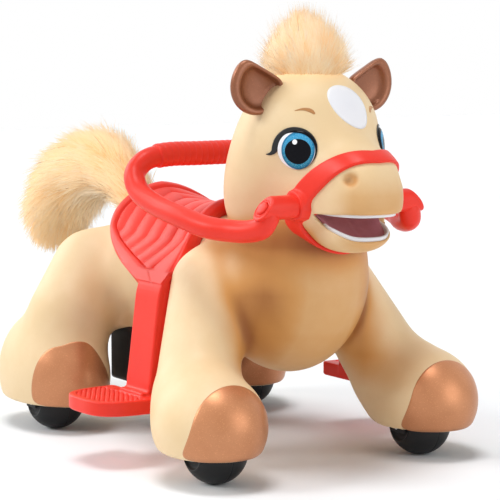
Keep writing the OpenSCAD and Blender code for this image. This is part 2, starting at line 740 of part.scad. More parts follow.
module band(f, slopes, bow, reach_out) {
    c = [hub_x, 0, hub_z];
    function slope(b) = slopes[0] + (slopes[1] - slopes[0]) * pow(abs(b) / reach_out, bow);
    function at(b, s, h) =
        let (a = slope(b),
             o = c + [-sin(a), 0, cos(a)] * (s * band_w / 2),
             d = [cos(a) * cos(b), sin(b), sin(a) * cos(b)])
        o + d * (reach(f, o, d) + h);
    top = skin_gap + band_t;
    function section(b) = [at(b, -1, skin_gap), at(b, -1, top), at(b, 1, top), at(b, 1, skin_gap)];
    function mid(b) = at(b, 0, skin_gap + band_t / 2);
    skin([for (i = [-12:12]) section(reach_out * i / 12)], mid(-reach_out), mid(reach_out));
}
module boss_rod(r, from, to) {
    translate([hub_x, from, hub_z]) rotate([-90, 0, 0]) cylinder(r = r, h = to - from, $fn = 64);
}
module nose_band() {
    color(red_plastic) difference() {
        band(face_f, nose_slope, 1.3, 70);
        boss_rod(boss_r + seat_gap, 0, hub_y);
        boss_rod(boss_r + seat_gap, -hub_y, 0);
    }
}
module chin_strap() {
    color(red_plastic) difference() {
        band(face_f, chin_slope, 2, 66);
        boss_rod(boss_r + seat_gap, 0, hub_y);
        boss_rod(boss_r + seat_gap, -hub_y, 0);
        torso_outside();
    }
}
module bridle_boss(s) {
    color(red_plastic) difference() {
        on_side(s) boss_rod(boss_r, boss_y - 34, boss_y);
        head_outside();
        on_side(s) boss_rod(hinge_r, 0, hub_y);
    }
}
hinge_in = 34;
hinge_end = boss_y + 28;
module hinge_pin() {
    color(steel) union() {
        boss_rod(hinge_r, boss_y - hinge_in, hinge_end);
    }
}

// Reins

face_out = [0, cos(hub_slant), sin(hub_slant)];
module on_hub_face() {
    translate([hub_x, hub_y, hub_z]) rotate([-90 + hub_slant, 0, 0]) children();
}
button_in = 8;
button_up = 4;
module rein_hub() {
    color(red_plastic) difference() {
        boss_rod(hub_r, boss_y + seat_gap, hub_y + hub_r);
        on_hub_face() translate([0, 0, 30]) cube([4 * hub_r, 4 * hub_r, 60], center = true);
        boss_rod(hinge_r + run_gap, boss_y, hinge_end + seat_gap);
        on_hub_face() translate([0, 0, -button_in - button_travel])
            cylinder(r = button_r + seat_gap, h = 40, $fn = 64);
    }
}
module rein_button() {
    color(red_plastic) on_hub_face() translate([0, 0, -button_in]) union() {
        cylinder(r = button_r, h = button_in + button_up - 1.5, $fn = 64);
        translate([0, 0, button_in + button_up - 1.5])
            cylinder(r1 = button_r, r2 = button_r - 1.5, h = 1.5, $fn = 64);
    }
}

bar_x = -272;
bar_z = 505;
// Half of the rein tube's middle line, from its front end under the hub to the middle of the rear bar
rein_half = [[50, 139, 424], [43, 146, 408], [20, 156, 401], [-10, 169, 400], [-50, 190, 404],
    [-110, 201, 416], [-185, 202, 429], [-240, 201, 447], [-268, 194, 474], [bar_x, 170, 497], [bar_x, 128, bar_z], [bar_x, 64, bar_z], [bar_x, 0, bar_z]];
module rein_hoop() {
    other = [for (i = [len(rein_half) - 2:-1:0]) [rein_half[i][0], -rein_half[i][1], rein_half[i][2]]];
    path = route(concat(rein_half, other), 3);
    m = len(path) - 1;
    t0 = heading(path, 0);
    t1 = heading(path, m);
    start = [for (a = [70, 35]) hoop_ring(path[0] - t0 * (tube_r * sin(a)), t0, tube_r * cos(a), 12)];
    finish = [for (a = [35, 70]) hoop_ring(path[m] + t1 * (tube_r * sin(a)), t1, tube_r * cos(a), 12)];
    color(red_plastic) difference() {
        skin(concat(start, [for (i = [0:m]) hoop_ring(path[i], heading(path, i), tube_r, 12)], finish),
            path[0] - t0 * tube_r, path[m] + t1 * tube_r);
        boss_rod(hub_r, 0, hub_y + hub_r);
        boss_rod(hub_r, -hub_y - hub_r, 0);
    }
}
ribs = 18;
grip_bore_r = tube_r + 0.8;
module rein_grip() {
    pitch = 2 * grip_l / ribs;
    color(red_plastic) translate([bar_x, 0, bar_z]) rotate([90, 0, 0]) rotate_extrude($fn = 48)
        polygon(concat([[grip_bore_r, grip_l], [grip_bore_r, -grip_l]],
            [for (i = [0:ribs - 1], k = [0, 0.25, 0.75])
                [grip_r - (k == 0 ? 1.5 : 0), -grip_l + pitch * (i + k)]],
            [[grip_r - 1.5, grip_l]]));
}

// Wheels and what carries them

module at_front() {
    translate([0, front_y, wheel_r]) children();
}
module at_rear() {
    translate([rear_x, rear_y, wheel_r]) children();
}
module across(r, from, to) {
    translate([0, from, 0]) rotate([-90, 0, 0]) cylinder(r = r, h = to - from, $fn = 64);
}
half_w = wheel_w / 2;
wheel_wall = 6;
hub_core = axle_r + 7;
module ball_wheel(bore) {
    flat = sqrt(wheel_r * wheel_r - half_w * half_w);
    color(black_plastic) rotate([90, 0, 0]) rotate_extrude($fn = 96)
        difference() {
            intersection() {
                circle(r = wheel_r, $fn = 96);
                translate([bore, -half_w]) square([wheel_r, wheel_w]);
            }
            translate([hub_core, wheel_wall / 2]) square([wheel_r - hub_core - 2 * wheel_wall, half_w - 18]);
            translate([hub_core, -half_w + 18 - wheel_wall / 2])
                square([wheel_r - hub_core - 2 * wheel_wall, half_w - 18]);
        }
}
module front_wheel() {
    at_front() ball_wheel(axle_r + run_gap);
}
module rear_wheel() {
    at_rear() ball_wheel(axle_r);
}
cheek_in = half_w + 1;
cheek_out = cheek_in + plate_t - 1;
crown_z = 2 * wheel_r + 4;
boss_low = crown_z + plate_t + seat_gap;
boss_high = web_z + web_t + 6;
module caster_fork() {
    color(black_plastic) difference() {
        union() {
            translate([trail, front_y, crown_z]) cylinder(r = cheek_out + 3, h = plate_t, $fn = 96);
            translate([trail, front_y, crown_z]) cylinder(r = pin_r, h = boss_high + 10 - crown_z, $fn = 64);
            translate([trail, front_y, boss_high + seat_gap]) cylinder(r = pin_r + 4, h = 6, $fn = 6);
            for (s = [0, 1]) mirror([0, 0, 0]) translate([0, front_y, 0]) mirror([0, s, 0])
                translate([-13, cheek_in, wheel_r - 9])
                    cube([26 + trail, cheek_out - cheek_in, crown_z - wheel_r + 9 + 1]);
        }
        at_front() across(axle_r, -2 * half_w, 2 * half_w);
    }
}
module front_axle() {
    color(steel) at_front() across(axle_r, -cheek_out, cheek_out);
}

plate_gap = 6;
function plate_outline(leg, z) =
    let (f = function (p) limb_d(p, leg) + wall + plate_gap, c = limb_axis(leg, z))
    [for (i = [0:35]) let (d = [cos(10 * i), sin(10 * i), 0], q = c + d * reach(f, c, d)) [q[0], q[1]]];
module foot_plate(leg) {
    difference() {
        translate([0, 0, web_z - plate_t]) linear_extrude(plate_t) polygon(plate_outline(leg, web_z));
        plate_holes(leg, web_z - plate_t - 1, plate_t + 2);
    }
}
module caster_plate() {
    color(black_plastic) difference() {
        union() {
            foot_plate(front_leg);
            translate([trail, front_y, boss_low]) cylinder(r = boss_out, h = boss_high - boss_low, $fn = 64);
        }
        translate([trail, front_y, boss_low - 1])
            cylinder(r = pin_r + run_gap, h = boss_high - boss_low + 2, $fn = 64);
    }
}
hanger = 16;
module drive_plate() {
    color(black_plastic) difference() {
        union() {
            foot_plate(rear_leg);
            for (s = [cheek_in, -cheek_out])
                translate([rear_x - hanger, rear_y + s, wheel_r - 9])
                    cube([2 * hanger, cheek_out - cheek_in, web_z - plate_t - wheel_r + 9 + 0.5]);
        }
        at_rear() across(axle_r + run_gap, -2 * half_w, 2 * half_w);
        translate([rear_foot[0], rear_foot[1], web_z - 2 * plate_t])
            cylinder(r = motor_r + seat_gap, h = 4 * plate_t, $fn = 64);
    }
}
module rear_axle() {
    color(steel) at_rear() across(axle_r, -cheek_out - gearbox_w / 2, cheek_out);
}
gearbox_w = 24;
gearbox_low = wheel_r - 12;
module gearbox() {
    color(black_plastic) difference() {
        translate([rear_x - 34, rear_y - cheek_out - gearbox_w, gearbox_low])
            cube([56, gearbox_w, web_z - plate_t - gearbox_low]);
        at_rear() across(axle_r + run_gap, -2 * half_w, 0);
    }
}
motor_low = web_z - plate_t - 3;
module drive_motor() {
    color(steel) translate([rear_foot[0], rear_foot[1], motor_low]) union() {
        cylinder(r = motor_r, h = motor_l, $fn = 64);
        cylinder(r = motor_r + 4, h = 3, $fn = 64);
        translate([0, 0, motor_l]) cylinder(r = 5, h = 5, $fn = 32);
    }
}
module plate_screws() {
    color(steel) for (s = [1, -1], leg = [front_leg, rear_leg]) on_side(s)
        for (q = plate_spots(leg)) translate([q[0], q[1], web_z - plate_t - 3]) {
            cylinder(r = 2 * screw_r, h = 3, $fn = 32);
            cylinder(r = screw_r, h = screw_l + 3, $fn = 24);
        }
}

// Belly tray and what it holds

tray_front = tray_rear + tray[0];
board_at = [tray_front - tray_wall - 4 - board_size[0], -board_size[1] / 2, tray_z + 60];
post_r = 4;
switch_size = [19, 13];
switch_pin = 1.2;
// Middle of the pocket in front of the battery
pocket_x = tray_front - tray_wall - 34;
switch_y = -tray[1] / 4;
speaker_y = speaker_r + 6;
socket_x = tray_front - 26;
socket_z = tray_z + 49;
module switch_rod(r, more) {
    translate([pocket_x, switch_y, tray_z + tray_wall / 2]) rotate([90, 0, 0])
        cylinder(r = r, h = switch_size[1] + 2 * more, center = true, $fn = 48);
}
module belly_tray() {
    inside = tray - [2 * tray_wall, 2 * tray_wall, 0];
    color(black_plastic) difference() {
        translate(tray_at) cube(tray);
        translate(tray_at + [tray_wall, tray_wall, tray_wall]) cube(inside);
        translate([socket_x, 0, socket_z]) rotate([90, 0, 0]) cylinder(r = socket_r, h = tray[1], $fn = 48);
        translate([pocket_x - switch_size[0] / 2, switch_y - switch_size[1] / 2, tray_z - 1])
            cube([switch_size[0], switch_size[1], tray_wall + 2]);
        switch_rod(switch_pin + run_gap, 3.2);
        for (i = [-2:2]) translate([pocket_x - speaker_r + 8, speaker_y + 8 * i - 1.5, tray_z - 1])
            cube([2 * speaker_r - 16, 3, tray_wall + 2]);
    }
    color(black_plastic) for (x = [6, board_size[0] - 6], y = [6, board_size[1] - 6])
        translate(board_at + [x, y, tray_z + tray_wall - 1 - board_at[2]])
            cylinder(r = post_r, h = board_at[2] - tray_z - tray_wall + 1, $fn = 32);
}
module battery() {
    color("dimgray") translate([tray_rear + tray_wall + 2, -battery_size[1] / 2, tray_z + tray_wall])
        cube(battery_size);
}
module control_board() {
    color("darkgreen") translate(board_at) cube(board_size);
}
module speaker() {
    color("black") translate([pocket_x, speaker_y, tray_z + tray_wall]) union() {
        cylinder(r = speaker_r, h = 5, $fn = 64);
        cylinder(r = speaker_r / 2, h = 20, $fn = 64);
    }
}
module power_switch() {
    color("red") union() {
        translate([pocket_x, switch_y, tray_z + tray_wall / 2]) rotate([90, 0, 0])
            linear_extrude(switch_size[1] - 2 * seat_gap, center = true)
                polygon([[-8, 2], [-8, -3.2], [0, -1.8], [8, -4.6], [8, 2]]);
        switch_rod(switch_pin, 3);
    }
}

// Everything is moved so that the part's middle stands over the origin

nose_x = muzzle_at[0] + muzzle_r[0];
module place() {
    translate([-(nose_x + tail_back) / 2, 0, 0]) children();
}

place() torso_shell();
place() front_leg_shell(1);  // front_leg_left
place() front_leg_shell(-1);  // front_leg_right
place() rear_leg_shell(1);  // rear_leg_left
place() rear_leg_shell(-1);  // rear_leg_right
place() head_shell();
place() lower_jaw();
place() upper_teeth();
place() lower_teeth();
place() tongue();
place() eye(1);  // eye_left
place() eye(-1);  // eye_right
place() ear(1);  // ear_left
place() ear(-1);  // ear_right
place() mane();
place() tail();
place() hoof(1, front_leg, front_hoof, front_bow, front_top);  // hoof_front_left
place() hoof(-1, front_leg, front_hoof, front_bow, front_top);  // hoof_front_right
place() hoof(1, rear_leg, rear_hoof, rear_bow, rear_top);  // hoof_rear_left
place() hoof(-1, rear_leg, rear_hoof, rear_bow, rear_top);  // hoof_rear_right
place() saddle_frame();
place() saddle_pad();
place() stirrup();  // stirrup_left
place() on_side(-1) stirrup();  // stirrup_right
place() nose_band();
place() chin_strap();
place() bridle_boss(1);  // bridle_boss_left
place() bridle_boss(-1);  // bridle_boss_right
place() hinge_pin();  // hinge_pin_left
place() on_side(-1) hinge_pin();  // hinge_pin_right
place() rein_hoop();
place() rein_grip();
place() rein_hub();  // rein_hub_left
place() on_side(-1) rein_hub();  // rein_hub_right
place() rein_button();  // rein_button_left
place() on_side(-1) rein_button();  // rein_button_right
place() caster_plate();  // caster_plate_left
place() on_side(-1) caster_plate();  // caster_plate_right
place() caster_fork();  // caster_fork_left
place() on_side(-1) caster_fork();  // caster_fork_right
place() front_axle();  // front_axle_left
place() on_side(-1) front_axle();  // front_axle_right
place() front_wheel();  // front_wheel_left
place() on_side(-1) front_wheel();  // front_wheel_right
place() drive_plate();  // drive_plate_left
place() on_side(-1) drive_plate();  // drive_plate_right
place() gearbox();  // gearbox_left
place() on_side(-1) gearbox();  // gearbox_right
place() drive_motor();  // drive_motor_left
place() on_side(-1) drive_motor();  // drive_motor_right
place() rear_axle();  // rear_axle_left
place() on_side(-1) rear_axle();  // rear_axle_right
place() rear_wheel();  // rear_wheel_left
place() on_side(-1) rear_wheel();  // rear_wheel_right
place() belly_tray();
place() battery();
place() control_board();
place() speaker();
place() power_switch();
place() plate_screws();
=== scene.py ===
"""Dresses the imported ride-on pony: moulded skins, painted face, bridle, reins, saddle, plush and studio.

Shapes are worked out in millimetres from a point on the floor under the front axles, with +X forward, +Y to the
pony's left and +Z up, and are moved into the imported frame, in metres, when a mesh is made.
"""

from __future__ import annotations

import json
import logging
import math
from dataclasses import dataclass, field
from enum import Enum
from typing import Callable, Sequence

import bpy
import numpy as np
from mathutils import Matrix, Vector

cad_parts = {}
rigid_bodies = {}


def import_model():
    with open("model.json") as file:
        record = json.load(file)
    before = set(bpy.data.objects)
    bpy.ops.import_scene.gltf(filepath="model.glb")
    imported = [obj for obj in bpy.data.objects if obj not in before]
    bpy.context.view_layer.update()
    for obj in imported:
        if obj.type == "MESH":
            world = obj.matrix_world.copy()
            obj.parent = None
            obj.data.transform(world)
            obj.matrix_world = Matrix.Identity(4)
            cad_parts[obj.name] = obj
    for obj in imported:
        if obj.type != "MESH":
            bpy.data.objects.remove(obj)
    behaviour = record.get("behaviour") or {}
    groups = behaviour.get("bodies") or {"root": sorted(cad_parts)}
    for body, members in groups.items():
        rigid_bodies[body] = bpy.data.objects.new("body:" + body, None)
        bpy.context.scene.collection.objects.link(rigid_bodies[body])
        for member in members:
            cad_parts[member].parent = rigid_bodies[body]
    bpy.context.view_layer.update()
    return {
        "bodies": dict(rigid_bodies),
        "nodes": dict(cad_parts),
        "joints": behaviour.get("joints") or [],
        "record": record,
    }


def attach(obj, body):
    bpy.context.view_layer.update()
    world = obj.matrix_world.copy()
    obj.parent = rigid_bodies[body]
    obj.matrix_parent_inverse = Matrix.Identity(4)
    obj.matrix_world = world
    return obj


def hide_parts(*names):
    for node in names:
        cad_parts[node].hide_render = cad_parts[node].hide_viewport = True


log = logging.getLogger("pony")
Array = np.ndarray
FieldFn = Callable[[Array], Array]
Triple = tuple[float, float, float]
Pair = tuple[float, float]
Form = tuple[Triple, Triple]
MM = 0.001
HUB: Pair = (51.0, 439.0)


class Side(Enum):
    """The pony's two sides, as the sign of y."""

    LEFT = 1
    RIGHT = -1

    @property
    def word(self) -> str:
        """The side's name as the nodes write it."""
        return self.name.lower()


# Fields: below zero inside, above zero outside, about a distance in millimetres


def ellipsoid(p: Array, centre: Triple, half: Triple) -> Array:
    """Field of an ellipsoid.

    Args:
        p: Points, one a row.
        centre: Its middle.
        half: Its half sizes.

    Returns:
        The field at each point.
    """
    q = (p - np.array(centre)) / np.array(half)
    k = np.linalg.norm(q, axis=-1)
    g = np.linalg.norm(q / np.array(half), axis=-1)
    return np.where(g < 1e-6, -min(half), k * (k - 1) / np.maximum(g, 1e-6))


def boxy(p: Array, centre: Triple, half: Triple, power: float) -> Array:
    """Field of a rounded, box-like ellipsoid.

    Args:
        p: Points, one a row.
        centre: Its middle.
        half: Its half sizes.
        power: 2 is an ellipsoid, and more is squarer.

    Returns:
        The field at each point.
    """
    q = np.abs((p - np.array(centre)) / np.array(half))
    k = np.sum(q**power, axis=-1) ** (1 / power)
    reach = np.linalg.norm(p - np.array(centre), axis=-1) / np.maximum(k, 1e-6)
    return (k - 1) * np.maximum(reach, min(half))


def rod(p: Array, a: Triple, b: Triple, ra: float, rb: float) -> Array:
    """Field of a round-ended rod from a to b whose radius goes from ra to rb.

    Args:
        p: Points, one a row.
        a: First end.
        b: Second end.
        ra: Radius at the first end.
        rb: Radius at the second end.

    Returns:
        The field at each point.
    """
    start, along = np.array(a), np.array(b) - np.array(a)
    h = np.clip((p - start) @ along / (along @ along), 0, 1)
    return np.linalg.norm(p - start - h[..., None] * along, axis=-1) - (ra + (rb - ra) * h)


def round_box(p: Array, centre: Triple, half: Triple, radius: float) -> Array:
    """Field of a box with rounded edges.

    Args:
        p: Points, one a row.
        centre: Its middle.
        half: Its half sizes, rounding included.
        radius: Radius of its edges.

    Returns:
        The field at each point.
    """
    q = np.abs(p - np.array(centre)) - (np.array(half) - radius)
    outside = np.linalg.norm(np.maximum(q, 0), axis=-1)
    return outside + np.minimum(q.max(axis=-1), 0) - radius


def soft_min(a: Array, b: Array, k: float) -> Array:
    """Joins two fields with a fillet of about k."""
    h = np.maximum(k - np.abs(a - b), 0) / k
    return np.minimum(a, b) - h * h * k / 4


def soft_max(a: Array, b: Array, k: float) -> Array:
    """Cuts one field by another with an edge of about k."""
    return -soft_min(-a, -b, k)


def fade(value: Array, start: float, end: float) -> Array:
    """An even rise from 0 where a value is at start to 1 where it is at end."""
    return np.clip((value - start) / (end - start), 0, 1)


def bell(value: Array, width: float) -> Array:
    """A bell curve that is 1 where a value is 0 and falls off over about a width."""
    return np.exp(-((value / width) ** 2))


def both_sides(p: Array) -> Array:
    """The points with those on the right mirrored to the left."""
    return np.stack([p[..., 0], np.abs(p[..., 1]), p[..., 2]], axis=-1)


def reach(f: FieldFn, start: Array, way: Array, far: float = 320.0) -> Array:
    """Walks from points inside a field to its skin.

    Args:
        f: The field.
        start: Points inside it, one a row.
        way: Unit directions, one a row or one for all.
        far: Longest walk.

    Returns:
        The distance to the skin for each point.
    """
    low, high = np.zeros(len(start)), np.full(len(start), far)
    for _ in range(22):
        mid = (low + high) / 2
        inside = f(start + mid[:, None] * way) < 0
        low, high = np.where(inside, mid, low), np.where(inside, high, mid)
    return (low + high) / 2


# Meshes


@dataclass
class Skin:
    """Points in millimetres and the faces between them."""

    points: Array
    faces: Array
    tints: dict[str, Array] = field(default_factory=dict)
    normals: Array | None = None

    def joined(self, other: Skin) -> Skin:
        """This skin and another in one.

        Args:
            other: The other skin, with the same tints.

        Returns:
            One skin of both.
        """
        faces = [*map(list, self.faces), *(list(np.array(f) + len(self.points)) for f in other.faces)]
        tints = {k: np.concatenate([v, other.tints[k]]) for k, v in self.tints.items() if k in other.tints}
        normals = None if self.normals is None else np.concatenate([self.normals, other.normals])
        return Skin(np.concatenate([self.points, other.points]), faces, tints, normals)

    def on(self, side: Side) -> Skin:
        """This skin of the left side, put on either side of the pony.

        Args:
            side: The side.

        Returns:
            The skin as it is for the left side, and its mirror image for the right.
        """
        if side is Side.LEFT:
            return self
        return Skin(self.points * np.array([1, -1, 1]), [list(f)[::-1] for f in self.faces], self.tints)


class FieldMesher:
    """Makes an even skin of four-sided faces round the zero level of a field."""

    block = 6

    def __init__(self, f: FieldFn, low: Triple, high: Triple, step: float) -> None:
        """Keeps the field and the grid that it is read on.

        Args:
            f: The field.
            low: Lowest corner of the grid.
            high: Highest corner of the grid.
            step: Distance between grid points.
        """
        self.f, self.low, self.step = f, np.array(low, float), step
        cells = np.ceil((np.array(high) - self.low) / step).astype(int)
        self.blocks = -(-(cells + 1) // self.block)

    def values(self) -> Array:
        """The field on the grid: exact near the skin, rough elsewhere.

        Returns:
            The values, by place along x, y and z.
        """
        n, b = self.blocks, self.block
        index = np.indices(n).reshape(3, -1).T
        corner = self.low + self.step * b * index
        rough = self.f(corner + self.step * (b - 1) / 2)
        grid = np.repeat(rough, b**3).reshape(*n, b, b, b)
        near = np.flatnonzero(np.abs(rough) < 2.2 * b * self.step)
        inner = self.step * np.indices((b, b, b)).reshape(3, -1).T
        for part in np.array_split(near, max(1, len(near) // 1500)):
            exact = self.f((corner[part][:, None] + inner).reshape(-1, 3))
            i, j, k = index[part].T
            grid[i, j, k] = exact.reshape(-1, b, b, b)
        return grid.transpose(0, 3, 1, 4, 2, 5).reshape(*(n * b))

    def settle(self, points: Array, rounds: int = 3) -> Array:
        """Moves points onto the skin.

        Args:
            points: Points near it.
            rounds: Number of steps.

        Returns:
            The moved points.
        """
        for _ in range(rounds):
            slope = self.slope(points)
            size = np.maximum(np.sum(slope * slope, axis=1), 0.05)
            move = self.f(points)[:, None] * slope / size[:, None]
            points = points - np.clip(move, -self.step, self.step)
        return points

    def slope(self, points: Array, h: float = 0.3) -> Array:
        """The field's slope at points.

        Args:
            points: The points.
            h: Half of the distance that it is taken over.

        Returns:
            The slope along each axis, one point a row.
        """
        out = np.empty_like(points)
        for axis in range(3):
            d = np.zeros(3)
            d[axis] = h
            out[:, axis] = (self.f(points + d) - self.f(points - d)) / (2 * h)
        return out

    def skin(self, smooth: int = 2) -> Skin:
        """The skin of the zero level.

        Args:
            smooth: Rounds of evening out the faces.

        Returns:
            Points and faces.
        """
        v = self.values()
        inside = v < 0
        count = np.zeros(np.array(v.shape) - 1, np.int8)
        corners = [(i, j, k) for i in (0, 1) for j in (0, 1) for k in (0, 1)]
        nx, ny, nz = count.shape
        for i, j, k in corners:
            count += inside[i : i + nx, j : j + ny, k : k + nz]
        cells = np.argwhere((count > 0) & (count < 8))
        number = np.full(count.shape, -1, np.int32)
        number[tuple(cells.T)] = np.arange(len(cells))
        total, hits = np.zeros((len(cells), 3)), np.zeros(len(cells))
        for a in corners:
            for axis in range(3):
                if a[axis]:
                    continue
                b = tuple(c + (n == axis) for n, c in enumerate(a))
                va, vb = v[tuple((cells + a).T)], v[tuple((cells + b).T)]
                cross = (va < 0) != (vb < 0)
                t = np.where(cross, va / np.where(cross, va - vb, 1), 0)
                total += cross[:, None] * (np.array(a) + t[:, None] * (np.array(b) - np.array(a)))
                hits += cross
        points = self.low + self.step * (cells + total / hits[:, None])
        faces = np.concatenate([self.wall_faces(inside, number, axis) for axis in range(3)])
        return Skin(self.even(self.settle(points), faces, smooth), faces)

    @staticmethod
    def wall_faces(inside: Array, number: Array, axis: int) -> Array:
        """Faces across the grid edges of one axis.

        Args:
            inside: Which grid points are inside.
            number: The point made in each cell, or -1.
            axis: The axis.

        Returns:
            Faces of four points, one a row.
        """
        u, w = (axis + 1) % 3, (axis + 2) % 3
        here = np.moveaxis(inside, (axis, u, w), (0, 1, 2))
        cell = np.moveaxis(number, (axis, u, w), (0, 1, 2))
        a, b = here[:-1, 1:-1, 1:-1], here[1:, 1:-1, 1:-1]
        quad = np.stack([cell[:, :-1, :-1], cell[:, 1:, :-1], cell[:, 1:, 1:], cell[:, :-1, 1:]], axis=-1)
        out, back = quad[a & ~b], quad[~a & b][:, ::-1]
        return np.concatenate([out, back])

    def even(self, points: Array, faces: Array, rounds: int) -> Array:
        """Evens out the faces along the skin.

        Args:
            points: Points on the skin.
            faces: Faces between them.
            rounds: Number of rounds.

        Returns:
            The moved points.
        """
        a, b = faces.ravel(), np.roll(faces, -1, axis=1).ravel()
        degree = np.maximum(np.bincount(a, minlength=len(points)), 1)
        for _ in range(rounds):
            total = np.stack([np.bincount(a, points[b, i], len(points)) for i in range(3)], axis=1)
            points = self.settle(0.5 * points + 0.5 * total / degree[:, None], 2)
        return points


def closed_sheet(front: Array, back: Array) -> Skin:
    """Two grids of points, one behind the other, closed along their edges.

    Args:
        front: Points, rows by columns.
        back: Points of the same shape behind them.

    Returns:
        The closed skin.
    """
    rows, cols = front.shape[:2]
    ids = np.arange(rows * cols).reshape(rows, cols)
    far = ids + rows * cols
    quad = np.stack([ids[:-1, :-1], ids[1:, :-1], ids[1:, 1:], ids[:-1, 1:]], axis=-1).reshape(-1, 4)
    faces = [quad, quad[:, ::-1] + rows * cols]
    edge = np.concatenate([ids[0, :], ids[1:, -1], ids[-1, -2::-1], ids[-2::-1, 0]])
    rim = np.concatenate([far[0, :], far[1:, -1], far[-1, -2::-1], far[-2::-1, 0]])
    faces.append(np.stack([edge[:-1], edge[1:], rim[1:], rim[:-1]], axis=-1))
    return Skin(np.concatenate([front.reshape(-1, 3), back.reshape(-1, 3)]), np.concatenate(faces))


def closed_rings(rings: Array) -> Skin:
    """Rings of points joined side to side, with a fan of faces at each end.

    Args:
        rings: Points, rings by points round a ring.

    Returns:
        The closed skin.
    """
    m, n = rings.shape[:2]
    ids = np.arange(m * n).reshape(m, n)
    turn = np.roll(ids, -1, axis=1)
    faces = np.stack([ids[:-1], turn[:-1], turn[1:], ids[1:]], axis=-1).reshape(-1, 4).tolist()
    ends = [rings[0].mean(axis=0), rings[-1].mean(axis=0)]
    faces += [[m * n, b, a] for a, b in zip(ids[0], turn[0])]
    faces += [[m * n + 1, a, b] for a, b in zip(ids[-1], turn[-1])]
    return Skin(np.concatenate([rings.reshape(-1, 3), ends]), faces)


def swept(middle: Array, way: Array, radius: Array, spokes: int) -> Skin:
    """A closed tube round a line.

    Args:
        middle: Points of the line.
        way: Its direction at each point.
        radius: The tube's radius at each point.
        spokes: Number of points round the tube.

    Returns:
        The closed skin.
    """
    u = unit(np.cross([0, 0, 1], way))
    v = np.cross(way, u)
    turn = np.linspace(0, 2 * np.pi, spokes, endpoint=False)
    spoke = u[:, None] * np.cos(turn)[:, None] + v[:, None] * np.sin(turn)[:, None]
    return closed_rings((middle[:, None] + radius[:, None, None] * spoke)[::-1])


def curve_through(points: Sequence[Sequence[float]], steps: int) -> Array:
    """A smooth curve through points.

    Args:
        points: The points.
        steps: Stretches between two neighbours.

    Returns:
        Points along the curve, the last one included.
    """
    p = np.array(points, float)
    p = np.concatenate([2 * p[:1] - p[1:2], p, 2 * p[-1:] - p[-2:-1]])
    t = np.arange(steps)[:, None] / steps
    parts = []
    for a, b, c, d in zip(p, p[1:], p[2:], p[3:]):
        parts.append(0.5 * (2 * b + (c - a) * t + (2 * a - 5 * b + 4 * c - d) * t**2 + (3 * b - a - 3 * c + d) * t**3))
    return np.concatenate([*parts, p[-2:-1]])


def unit(v: Array) -> Array:
    """Vectors made one long."""
    return v / np.maximum(np.linalg.norm(v, axis=-1, keepdims=True), 1e-9)


# Finishes


